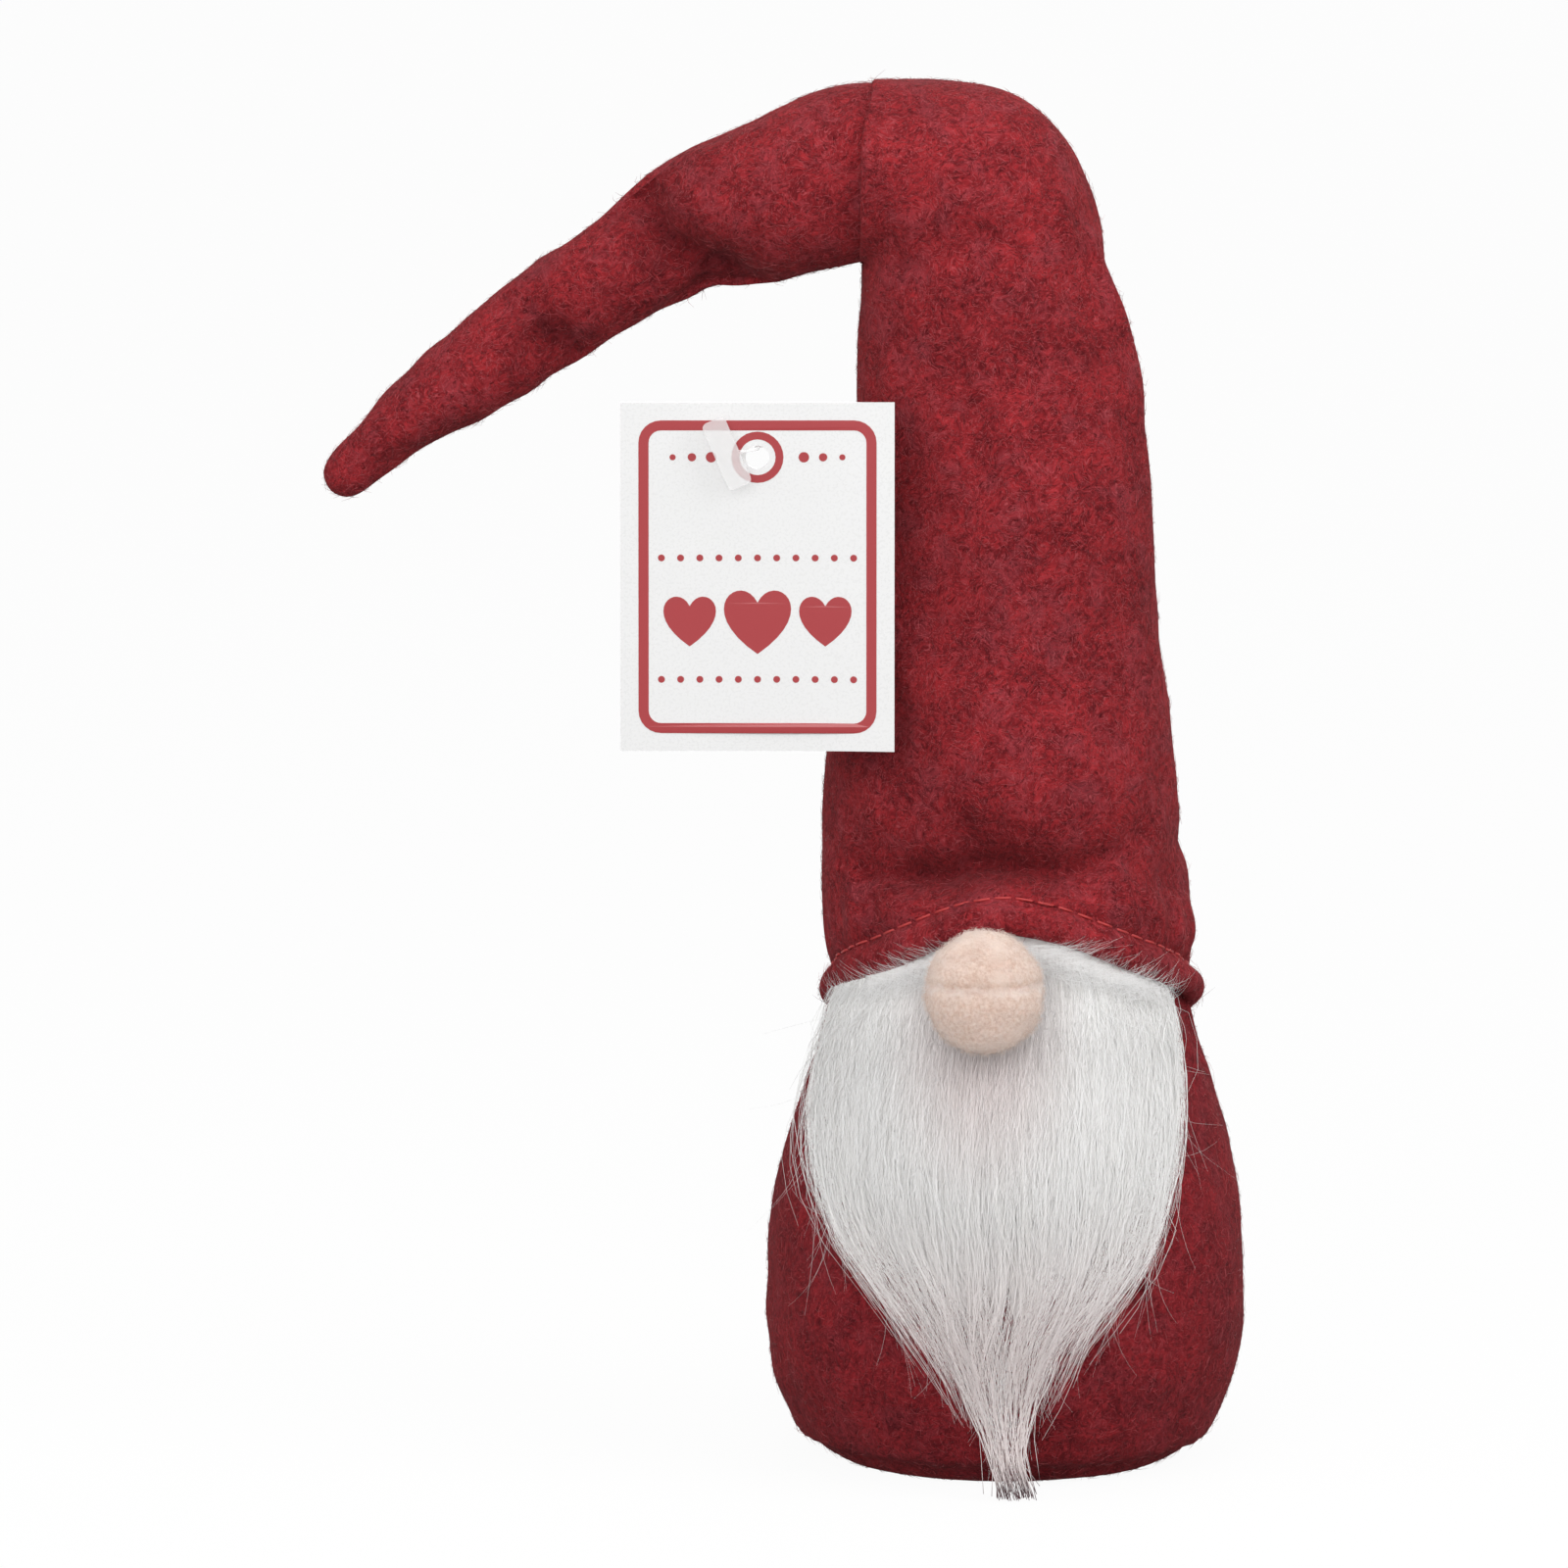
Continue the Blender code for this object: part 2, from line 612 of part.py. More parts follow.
def make_beard():
    levels = steps(7)
    rows = patch_rows([*levels, 2.0], ON_SACK, lambda share, side: BACKING)
    place("beard_backing", band_loft(rows), material("beard_backing", (0.8, 0.79, 0.76), 0.95))

    def root_pile(share, side):
        return pile(between(PILE_THICKNESS, PILE_ROOT_THICKNESS, ease(2 * share)), side)

    white = material("beard_pile", (0.78, 0.77, 0.75), 0.6)
    rows = patch_rows(levels, ON_SACK + BACKING + ON_SACK, root_pile)
    place("beard_root", band_loft(rows), white)

    rows = []
    for share in steps(10):
        height = between(BEARD_HINGE_HEIGHT - BEARD_HINGE_CLEARANCE, BEARD_FLOOR_CLEARANCE, share)
        radius = belly_radius(height) + ON_SACK
        deep = PILE_THICKNESS * between(PILE_EDGE_SHARE, 1.0, ease(4 * share))
        inner, outer = [], []
        for side in PATCH_SIDES:
            angle = side * beard_angle(height)
            inner.append(front_place(angle, radius, height))
            outer.append(front_place(angle, radius + pile(deep, side), height))
        rows.append((inner, outer))
    flap = place("beard_flap", band_loft(rows), white)
    axis_out = belly_radius(BEARD_HINGE_HEIGHT) + ON_SACK + BEARD_HINGE_INSET
    hang_on("beard_lift_axis", Vector((0, -axis_out, BEARD_HINGE_HEIGHT)), (flap,))


# Nose: fleece drawn round a ball of fibre, its gather at the back against the beard

def make_nose():
    pile_front = sack_radius(NOSE_LEVEL) + ON_SACK + BACKING + ON_SACK + PILE_ROOT_THICKNESS
    middle = Vector((NOSE_SIDE, -(pile_front + 2 * GAP + NOSE_DEPTH / 2), NOSE_LEVEL))
    half = Vector((NOSE_WIDTH / 2, NOSE_DEPTH / 2, NOSE_HEIGHT / 2))

    def ball(inset, open_radius):
        bm = bmesh.new()
        bmesh.ops.create_uvsphere(bm, u_segments=CORE_SEGMENTS, v_segments=CORE_SEGMENTS // 2, radius=1)
        bmesh.ops.rotate(bm, verts=bm.verts, matrix=Matrix.Rotation(-math.pi / 2, 3, "X"))
        pole = [v for v in bm.verts if math.hypot(v.co.x, v.co.z) * half.x < open_radius and v.co.y > 0]
        bmesh.ops.delete(bm, geom=pole, context="VERTS")
        size = half - Vector((inset, inset, inset))
        bmesh.ops.scale(bm, verts=bm.verts, vec=size)
        bmesh.ops.translate(bm, verts=bm.verts, vec=middle)
        return mesh_of(bm)

    fleece = material("nose_fleece", (0.72, 0.55, 0.47), 0.95)
    cover = place("nose_cover", ball(0, NOSE_GATHER_RADIUS), fleece)
    thicken(cover, FLEECE)
    place("nose_core", ball(FLEECE + GAP, 0), material("nose_core", (0.9, 0.9, 0.88), 1.0))


# Gift tag on its pin: the card hangs by its hole on the pin's filament

def make_tag(upright, stuffing):
    swing_level = TAG_HOLE_LEVEL + TAG_HOLE_RADIUS - FILAMENT_RADIUS - GAP
    lowest = TAG_HOLE_LEVEL - math.hypot(TAG_LENGTH - TAG_HOLE_DROP, TAG_WIDTH / 2)
    card_front = -(hat_depth(lowest) + TAG_CLEARANCE)
    hole = Vector((-FOLD_LEFT - TAG_HOLE_OUT, card_front, TAG_HOLE_LEVEL))

    bm = bmesh.new()
    bmesh.ops.create_grid(bm, x_segments=10, y_segments=4, size=0.5)
    bmesh.ops.scale(bm, verts=bm.verts, vec=(TAG_WIDTH, TAG_LENGTH, 1))
    for corner in bm.verts:
        across = max(0.0, corner.co.x / (TAG_WIDTH / 2))
        down = 0.5 - corner.co.y / TAG_LENGTH
        corner.co.z = TAG_CURL * across**2 * down
    bmesh.ops.rotate(bm, verts=bm.verts, matrix=Matrix.Rotation(math.pi / 2, 3, "X"))
    middle = hole + Vector((0, 0, TAG_HOLE_DROP - TAG_LENGTH / 2))
    bmesh.ops.translate(bm, verts=bm.verts, vec=middle)
    card = place("gift_tag", mesh_of(bm), material("tag_card", (0.85, 0.85, 0.85), 0.25))
    thicken(card, TAG_CARD, 0)
    punch = bmesh.new()
    across_y = Matrix.Translation(hole) @ Matrix.Rotation(math.pi / 2, 4, "X")
    bmesh.ops.create_cone(
        punch,
        cap_ends=True,
        segments=24,
        radius1=TAG_HOLE_RADIUS,
        radius2=TAG_HOLE_RADIUS,
        depth=TAG_HOLE_DROP,
        matrix=across_y,
    )
    punch_tool = cutter("tag_punch", mesh_of(punch))
    combine(card, punch_tool)
    swing = Vector((hole.x, hole.y, swing_level))
    hang_on("tag_swing_axis", swing, (card, punch_tool))

    surface = hat_point(PIN_ANGLE, swing_level)
    outwards = Vector((-math.cos(PIN_ANGLE), -math.sin(PIN_ANGLE), 0))
    inside = surface - outwards * (LINING + TBAR_RADIUS)
    paddle = swing + Vector((-PADDLE_SIDE, -PADDLE_STANDOFF, -FILAMENT_RADIUS))
    thread = smooth_route(
        [
            inside,
            surface + outwards * PIN_STUB,
            swing + Vector((PIN_STUB / 3, PIN_STUB, 0)),
            swing,
            swing + Vector((-PADDLE_SIDE / 4, -PADDLE_STANDOFF / 2, 0)),
            paddle,
        ],
        6,
    )
    clear = material("pin_plastic", (0.8, 0.8, 0.8), 0.2)
    pin = place("tag_pin", tube(thread, FILAMENT_RADIUS), clear)

    bm = bmesh.new()
    bmesh.ops.create_cube(bm, size=1)
    bmesh.ops.scale(bm, verts=bm.verts, vec=(PADDLE_WIDTH, PADDLE_THICKNESS, PADDLE_LENGTH))
    corners = [
        edge for edge in bm.edges if abs(edge.verts[0].co.y - edge.verts[1].co.y) > PADDLE_THICKNESS / 2
    ]
    bmesh.ops.bevel(
        bm, geom=corners, offset=PADDLE_WIDTH / 5, segments=3, profile=0.5, affect="EDGES", material=-1
    )
    lean = Matrix.Translation(paddle) @ Matrix.Rotation(-PADDLE_TILT, 4, "Y")
    bmesh.ops.transform(bm, verts=bm.verts, matrix=lean)
    combine(pin, cutter("pin_paddle", mesh_of(bm)), "UNION")

    half_bar = Vector((0, 0, TBAR_LENGTH / 2))
    bar = [inside - half_bar, inside, inside + half_bar]
    combine(pin, cutter("pin_tbar", tube(bar, TBAR_RADIUS)), "UNION")

    hole_route = [inside - outwards * GAP, surface, surface + outwards * PIN_STUB]
    combine(upright, cutter("pin_hole", tube(hole_route, FILAMENT_RADIUS + GAP)))
    end_room = Vector((0, 0, GAP))
    bar_route = [bar[0] - end_room, inside, bar[-1] + end_room]
    combine(stuffing, cutter("tbar_room", tube(bar_route, TBAR_RADIUS + 2 * GAP)))


for leftover in list(bpy.data.objects):
    bpy.data.objects.remove(leftover)
stuffing_of_body = make_body()
hat_upright, hat_stuffing = make_hat(stuffing_of_body)
make_beard()
make_nose()
make_tag(hat_upright, hat_stuffing)
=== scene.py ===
import math

import bmesh
import bpy
import numpy as np
from mathutils import Matrix, Vector
from mathutils.bvhtree import BVHTree


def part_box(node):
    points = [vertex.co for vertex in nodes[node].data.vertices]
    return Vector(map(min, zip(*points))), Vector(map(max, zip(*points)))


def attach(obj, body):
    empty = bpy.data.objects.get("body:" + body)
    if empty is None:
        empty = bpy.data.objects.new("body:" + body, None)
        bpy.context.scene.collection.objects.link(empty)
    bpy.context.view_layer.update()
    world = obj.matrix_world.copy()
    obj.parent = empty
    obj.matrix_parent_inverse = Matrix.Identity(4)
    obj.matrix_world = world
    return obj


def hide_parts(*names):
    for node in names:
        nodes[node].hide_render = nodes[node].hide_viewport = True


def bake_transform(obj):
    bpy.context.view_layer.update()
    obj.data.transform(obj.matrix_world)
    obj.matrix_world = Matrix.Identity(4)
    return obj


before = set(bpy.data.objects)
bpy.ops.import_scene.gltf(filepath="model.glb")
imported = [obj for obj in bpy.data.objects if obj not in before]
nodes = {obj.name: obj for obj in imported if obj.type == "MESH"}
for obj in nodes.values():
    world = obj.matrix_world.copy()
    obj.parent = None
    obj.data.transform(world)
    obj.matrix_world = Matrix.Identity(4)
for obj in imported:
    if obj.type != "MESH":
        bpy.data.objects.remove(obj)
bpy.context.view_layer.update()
mm = 0.001


# Felt of the sack and of the hat. Fibres of several reds, with pinkish-grey and nearly black ones
# among them, are needled into a soft mat: mottled from afar and hairy from close by.

def plug(node, **sockets):
    """Sets a node's sockets, by name or as i and a number, to values or to other nodes' outputs."""
    for name, value in sockets.items():
        socket = node.inputs[int(name[1:]) if name[1:].isdigit() else name.replace("_", " ")]
        if isinstance(value, bpy.types.NodeSocket):
            node.id_data.links.new(value, socket)
        else:
            socket.default_value = value
    return node


def add_node(tree, kind, settings=None, **sockets):
    """A new node with these settings and sockets."""
    made = tree.nodes.new("ShaderNode" + kind)
    for name, value in (settings or {}).items():
        setattr(made, name, value)
    return plug(made, **sockets)


def new_shader(name):
    """A new material, with its Principled shader and the place that its patterns are drawn at."""
    made = bpy.data.materials.new(name)
    made.use_nodes = True
    place = add_node(made.node_tree, "TexCoord").outputs["Object"]
    return made, made.node_tree.nodes["Principled BSDF"], place


def sum_up(first, second, operation="ADD"):
    return add_node(first.id_data, "Math", {"operation": operation}, i0=first, i1=second).outputs[0]


def times(first, second):
    return sum_up(first, second, "MULTIPLY")


def ranged(value, low, high):
    """A value from 0 to 1, brought between low and high."""
    return add_node(value.id_data, "MapRange", Value=value, To_Min=low, To_Max=high).outputs[0]


def step_between(value, low, high):
    """0 below low, 1 above high, and a smooth step between them."""
    smooth = {"interpolation_type": "SMOOTHSTEP"}
    return add_node(value.id_data, "MapRange", smooth, Value=value, From_Min=low, From_Max=high).outputs[0]


def mixed(share, first, second):
    """A colour that goes from the first to the second by this share."""
    ends = [end if isinstance(end, bpy.types.NodeSocket) else (*end, 1) for end in (first, second)]
    colours = {"data_type": "RGBA"}
    return add_node(share.id_data, "Mix", colours, Factor=share, i6=ends[0], i7=ends[1]).outputs[2]


def bumps(height, strength, distance):
    """A surface that follows the height of a pattern."""
    return add_node(height.id_data, "Bump", Height=height, Strength=strength, Distance=distance).outputs[0]


def clouds(place, size, detail=3.0, roughness=0.55):
    """Soft random clouds of about this size."""
    made = add_node(place.id_data, "TexNoise", Vector=place, Scale=1 / size)
    return plug(made, Detail=detail, Roughness=roughness).outputs["Fac"]


def streaks(place, length, width, turn):
    """Noise drawn out into fibres of this length and width, that lie along a turned direction."""
    lie = {"vector_type": "TEXTURE"}
    size = (length, width, width)
    turned = add_node(place.id_data, "Mapping", lie, Vector=place, Rotation=turn, Scale=size)
    return clouds(turned.outputs[0], 1.0, 2.0, 0.6)


FIBRE_TURNS = ((0.2, 0.1, 0.25), (0.5, 0.75, 1.1), (1.1, -0.6, 0.4), (0.1, 1.35, 2.0), (0.9, 0.35, -0.9))


def most_of(place, length, width, turns, low, high):
    """Fibres of one length and width that lie along several directions, as one pattern from 0 to 1."""
    whole = None
    for turn in turns:
        fibre = step_between(streaks(place, length, width, turn), low, high)
        whole = fibre if whole is None else sum_up(whole, fibre, "MAXIMUM")
    return whole


def felt(name, deep, bright, pale, grey):
    """Melange felt: deep and bright red wool in tufts, with paler fibres, dark pits and greyish patches.
    Shade is painted into its folds, darker where the crease attribute is set."""
    made, shader, place = new_shader(name)
    tree = made.node_tree
    bend_size = 5 * mm
    bend = add_node(tree, "TexNoise", Vector=place, Scale=1 / bend_size, Detail=2.0).outputs["Color"]
    bend = add_node(tree, "VectorMath", {"operation": "SUBTRACT"}, i0=bend, i1=(0.5, 0.5, 0.5)).outputs[0]
    bend = add_node(tree, "VectorMath", {"operation": "SCALE"}, i0=bend, Scale=bend_size).outputs[0]
    bent = add_node(tree, "VectorMath", {"operation": "ADD"}, i0=place, i1=bend).outputs[0]

    patches = step_between(clouds(place, 9 * mm), 0.32, 0.68)
    tufts = step_between(clouds(bent, 1.5 * mm, 4.0, 0.65), 0.36, 0.64)
    locks = most_of(bent, 5.0 * mm, 0.8 * mm, FIBRE_TURNS[:3], 0.50, 0.70)
    tone = sum_up(times(patches, 0.28), times(tufts, 0.34))
    colour = mixed(sum_up(tone, times(locks, 0.38)), deep, bright)
    worn = step_between(clouds(bent, 6 * mm, 6.0, 0.75), 0.48, 0.62)
    colour = mixed(times(worn, 0.36), colour, grey)

    hairs = most_of(bent, 2.8 * mm, 0.30 * mm, FIBRE_TURNS, 0.60, 0.72)
    pits = most_of(bent, 1.5 * mm, 0.50 * mm, FIBRE_TURNS[1:4], 0.61, 0.72)
    charcoal = step_between(clouds(bent, 1.1 * mm, 3.0, 0.7), 0.60, 0.72)
    dark = sum_up(pits, charcoal, "MAXIMUM")
    painted_fold_shade = add_node(tree, "Attribute", {"attribute_name": "crease"}).outputs["Fac"]
    colour = mixed(times(hairs, 0.62), colour, pale)
    colour = mixed(times(dark, 0.66), colour, [0.45 * part for part in deep])
    # Painted shade: darker felt in the folds, standing in for the shade that falls there.
    colour = mixed(times(painted_fold_shade, 0.65), colour, [0.5 * part for part in deep])
    nap = sum_up(sum_up(hairs, tufts), dark, "SUBTRACT")
    plug(shader, Base_Color=colour, Normal=bumps(nap, 0.5, 0.25 * mm), Roughness=0.95)
    plug(shader, Specular_IOR_Level=0.08)
    plug(shader, Sheen_Weight=0.07, Sheen_Roughness=0.5, Sheen_Tint=(1.0, 0.35, 0.35, 1))
    return made


# Body sack. Sewn from felt, filled with fibre above a weighted pouch, so that the belly is widest
# low down. One seam runs up the back, and the base is a felt disc sewn in at the bottom edge.

def add_object(name, data):
    made = bpy.data.objects.new(name, data)
    bpy.context.scene.collection.objects.link(made)
    return made


def show(name, mesh, finish):
    """A new piece with this mesh, smooth, in one material."""
    mesh.name = name
    mesh.shade_smooth()
    mesh.materials.clear()
    mesh.materials.append(finish)
    return add_object(name, mesh)


def piece_of(name, shape, finish):
    """A new piece with the bmesh's shape."""
    mesh = bpy.data.meshes.new(name)
    shape.to_mesh(mesh)
    shape.free()
    return show(name, mesh, finish)


def refine(piece, levels):
    """Subdivides the piece's surface smoothly, and keeps the result as its mesh."""
    finer = piece.modifiers.new("finer", "SUBSURF")
    finer.levels = levels
    finer.render_levels = levels
    apply_all(piece)


def apply_all(piece):
    graph = bpy.context.evaluated_depsgraph_get()
    done = bpy.data.meshes.new_from_object(piece.evaluated_get(graph))
    piece.modifiers.clear()
    old = piece.data
    piece.data = done
    bpy.data.meshes.remove(old)


def points_of(mesh):
    points = np.empty(len(mesh.vertices) * 3)
    mesh.vertices.foreach_get("co", points)
    return points.reshape(-1, 3)


def normals_of(mesh):
    normals = np.empty(len(mesh.vertices) * 3)
    mesh.vertex_normals.foreach_get("vector", normals)
    return normals.reshape(-1, 3)


def move_to(piece, points):
    piece.data.vertices.foreach_set("co", points.ravel())
    piece.data.update()


def push(piece, hills):
    """Moves the surface along its normals by hills(points, normals), in metres."""
    points, normals = points_of(piece.data), normals_of(piece.data)
    move_to(piece, points + normals * hills(points, normals)[:, None])


def wall(piece, thickness):
    """Gives a skin its thickness, inwards."""
    made = piece.modifiers.new("wall", "SOLIDIFY")
    made.thickness = thickness
    made.offset = -1


def stuff(piece, freedom, swell, reach):
    """Presses the felt out from inside by cloth simulation. Freedom is 0 where it is sewn down, up to 1."""
    push(piece, lambda points, normals: -swell * freedom(points))
    start = points_of(piece.data)
    held = piece.vertex_groups.new(name="held")
    held.add([int(i) for i in np.flatnonzero(freedom(start) < 0.05)], 1.0, "REPLACE")
    cloth = piece.modifiers.new("cloth", "CLOTH")
    cloth.settings.vertex_group_mass = "held"
    cloth.settings.mass = 0.001
    cloth.settings.use_pressure = True
    cloth.settings.uniform_pressure_force = 4.0
    cloth.settings.shrink_min = -0.02
    cloth.settings.effector_weights.gravity = 0
    cloth.collision_settings.use_collision = False
    for step in range(1, 21):
        bpy.context.scene.frame_set(step)
    graph = bpy.context.evaluated_depsgraph_get()
    shift = points_of(piece.evaluated_get(graph).to_mesh()) - start
    piece.modifiers.clear()
    piece.vertex_groups.clear()
    bpy.context.scene.frame_set(1)
    shift *= np.minimum(1, reach / np.maximum(np.linalg.norm(shift, axis=1), 1e-9))[:, None]
    move_to(piece, start + shift)


def smooth_step(value, low, high):
    share = np.clip((value - low) / (high - low), 0, 1)
    return share * share * (3 - 2 * share)


def ridge(value, width):
    """A soft ridge of height 1 along the places where the value is 0."""
    return np.exp(-((value / width) ** 2))


def lumps(points, size, seed):
    """Soft random hills and hollows of about this size, from about -1 to 1."""
    dice = np.random.default_rng(seed)
    directions = dice.normal(size=(10, 3))
    directions /= np.linalg.norm(directions, axis=1)[:, None]
    waves = np.sin(points @ directions.T * (2 * math.pi / size) + dice.uniform(0, 2 * math.pi, 10))
    return waves.sum(axis=1) / 4.5


def press_in(piece, folds, skirt):
    """Presses valleys into the front, each along a line of (x, z) places in mm, with its depth and its
    width to the left and to the right of the line. Nothing moves within the skirt near the outline. How
    far each place is pressed into a valley, up to 1, is kept in the crease attribute, from which the felt
    paints shade into the valleys."""
    points = points_of(piece.data)
    flat = points[:, [0, 2]] / mm
    front = smooth_step(-points[:, 1], 0.15 * skirt, skirt)
    painted_fold_shade = np.zeros(len(points))
    for line, depth, left, right in folds:
        nearest = np.full(len(points), 1e9)
        across = np.zeros(len(points))
        along = np.zeros(len(points))
        for i, (start, stop) in enumerate(zip(line, line[1:])):
            start = np.array(start)
            run = np.array(stop) - start
            share = np.clip((flat - start) @ run / (run @ run), 0, 1)
            away = flat - (start + share[:, None] * run)
            distance = np.hypot(*away.T)
            closer = distance < nearest
            nearest = np.where(closer, distance, nearest)
            across = np.where(closer, distance * np.sign(run[0] * away[:, 1] - run[1] * away[:, 0]), across)
            along = np.where(closer, (i + share) / (len(line) - 1), along)
        fades = np.sin(math.pi * np.clip(0.12 + 0.76 * along, 0, 1)) ** 0.7
        width = np.where(across > 0, left, right)
        valley = np.exp(-((np.abs(across) / width) ** 1.3)) * fades * front
        points[:, 1] += depth * mm * valley
        # The share of painted shade that the felt's colour takes here.
        painted_fold_shade = np.maximum(painted_fold_shade, valley * np.clip(depth / 4, 0, 1))
    piece.data.attributes.new("crease", "FLOAT", "POINT").data.foreach_set("value", painted_fold_shade)
    move_to(piece, points)


felt_body = felt(
    "felt_body", (0.072, 0.005, 0.008), (0.325, 0.022, 0.028), (0.37, 0.055, 0.065), (0.19, 0.028, 0.038)
)

base_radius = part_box("base_disc")[1].x
belly_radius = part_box("body_sack")[1].x + 0.6 * mm
belly_height = 31 * mm
shoulder_radius = 31.8 * mm
shoulder_height = 78.5 * mm
crown_height = 27.5 * mm
neck_radius = 8 * mm


def sack_radius(height):
    """Radius of the sack at heights above the table: belly, then shoulder, then the gathered crown."""
    low = np.sqrt(np.clip(1 - (1 - height / belly_height) ** 2, 0, 1))
    rise = (height - belly_height) / (shoulder_height - belly_height)
    crown = np.sqrt(np.clip(1 - ((height - shoulder_height) / crown_height) ** 2, 0, 1))
    return np.where(
        height < belly_height,
        base_radius + (belly_radius - base_radius) * low,
        np.where(
            height < shoulder_height,
            belly_radius - (belly_radius - shoulder_radius) * rise**2,
            neck_radius + (shoulder_radius - neck_radius) * crown,
        ),
    )


sack = bmesh.new()
sack_heights = [0.0, 0.6, 2.5, 6, 11, 18, 26, 35, 45, 55, 64, 72, 79, 86, 93, 99, 103.5, 105.8]
outline = [sack.verts.new((float(sack_radius(h * mm)), 0, h * mm)) for h in sack_heights]
rim = [sack.edges.new(pair) for pair in zip(outline, outline[1:])]
bmesh.ops.spin(sack, geom=outline + rim, axis=(0, 0, 1), angle=2 * math.pi, steps=48, use_merge=True)
bmesh.ops.remove_doubles(sack, verts=sack.verts, dist=0.01 * mm)
bmesh.ops.recalc_face_normals(sack, faces=sack.faces)
body_felt = piece_of("body_felt", sack, felt_body)
refine(body_felt, 1)


def sack_freedom(points):
    z = points[:, 2]
    return smooth_step(z, 2 * mm, 12 * mm) * smooth_step(-z, -98 * mm, -80 * mm)


stuff(body_felt, sack_freedom, swell=0.7 * mm, reach=1.5 * mm)
refine(body_felt, 1)

back_seam_depth = 1.1 * mm
base_seam_height = 3.2 * mm


def back_seam(x, depth, welt):
    """The groove of a sewn seam where x is 0, with the felt swollen on both sides of it."""
    return welt * ridge(np.abs(x) - 2.6 * mm, 1.4 * mm) - depth * ridge(x, 1.0 * mm)


def sack_hills(points, normals):
    x, y, z = points.T
    turn = np.arctan2(y, x)
    hills = 0.55 * mm * lumps(points, 30 * mm, 3) + 0.22 * mm * lumps(points, 11 * mm, 4)
    gathers = np.sin(17 * turn + 2 * np.sin(3 * turn)) * smooth_step(z, 52 * mm, 84 * mm)
    puckers = np.sin(42 * turn + np.sin(5 * turn)) * ridge(z - base_seam_height, 2.5 * mm)
    hills += 0.45 * mm * gathers + 0.20 * mm * puckers
    hills -= 0.7 * mm * ridge(z - base_seam_height, 0.9 * mm)
    hills += (y > 0) * back_seam(x, back_seam_depth, 0.4 * mm)
    return hills * smooth_step(z, 0.0, 1.5 * mm)


push(body_felt, sack_hills)
lean = Matrix.Shear("XY", 4, (0.013, 0))
body_felt.data.transform(lean)
wall(body_felt, 1.0 * mm)
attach(body_felt, "body")
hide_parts("body_sack", "body_stuffing")


def dress(name, finish):
    """Gives a piece that is shown as it was modelled its material."""
    nodes[name].data.materials.clear()
    nodes[name].data.materials.append(finish)


def woven(name, dark, light, pitch):
    """Plain cloth: two sets of threads that cross over and under each other."""
    made, shader, place = new_shader(name)
    waves = []
    for direction in ("X", "Z"):
        bands = {"bands_direction": direction}
        wave = add_node(made.node_tree, "TexWave", bands, Vector=place, Distortion=0.6)
        waves.append(plug(wave, Scale=1 / (3.2 * pitch)).outputs["Fac"])
    threads = times(*waves)
    tone = mixed(sum_up(threads, clouds(place, 4 * mm, 2.0)), dark, light)
    plug(shader, Base_Color=tone, Normal=bumps(threads, 0.5, 0.2 * mm), Roughness=0.9)
    return made


dress("base_disc", felt_body)
dress("ballast_pouch", woven("pouch_cotton", (0.36, 0.31, 0.24), (0.62, 0.56, 0.46), 0.5 * mm))


# Hat, upright part. One sewn felt cone: its hem is turned up and stitched, it sits over the sack's
# crown, and at the top it is folded over to the left, where the tip comes out from behind the fold.

felt_hat = felt(
    "felt_hat", (0.090, 0.006, 0.009), (0.390, 0.027, 0.033), (0.440, 0.080, 0.092), (0.235, 0.045, 0.058)
)

hem_side_height = 81.5 * mm
hem_tilt = 12.5 * mm
hem_nose_lift = 5.5 * mm
throat_height = 214.5 * mm
fold_corner = Vector((-26.5, 0, 214.5)) * mm
LEFT_EDGE = (
    (82, 31.6), (89, 30.6), (95, 31.4), (101, 32.2), (107, 32.7), (124, 32.3), (150, 29.6),
    (186, 25.9), (215, 25.7),
)
RIGHT_EDGE = (
    (82, 34.0), (86, 33.6), (91, 32.6), (97, 32.9), (103, 32.7), (114, 31.8), (128, 30.6), (146, 28.0),
    (154, 26.9), (171, 26.8), (185, 25.8), (199, 23.3), (211, 20.4), (215, 19.3),
)
HALF_DEPTH = ((82, 34.4), (97, 34.2), (106, 33.0), (150, 28.0), (211, 20.5))
DOME_REACH = ((0, 45.7), (16, 43.9), (26, 43.4), (36, 43.1), (46, 41.8), (57, 39.2), (71, 35.4), (90, 33.3))


def read_line(line, where):
    """The value, in metres, of a line of (place, value in mm) pairs at this place."""
    return np.interp(where, *zip(*line)) * mm


def hem_height(turn):
    """Height of the hem's lower edge. Turn goes from the left over the front to the right."""
    front = math.sin(turn)
    return hem_side_height + hem_tilt * front + hem_nose_lift * max(0.0, front) ** 6


def hat_side(turn, height, out=0.0):
    """A place on the upright, moved outwards by so much."""
    left = read_line(LEFT_EDGE, height / mm) + out
    right = read_line(RIGHT_EDGE, height / mm) + out
    deep = read_line(HALF_DEPTH, height / mm) + out
    x = (right - left) / 2 - (right + left) / 2 * math.cos(turn)
    return Vector((x, -deep * math.sin(turn), height))


def hat_dome(turn, lean):
    """A place on the folded-over top, in the half plane that leans by so much about the fold's corner."""
    far = read_line(DOME_REACH, math.degrees(lean))
    near = 0.8 * mm
    out = (near + far) / 2 - (far - near) / 2 * math.cos(turn)
    deep = (20.5 - 3.2 * lean / (math.pi / 2)) * mm
    towards = Vector((math.cos(lean), 0, math.sin(lean)))
    return fold_corner + towards * out + Vector((0.8 * mm * lean, -deep * math.sin(turn), 0))


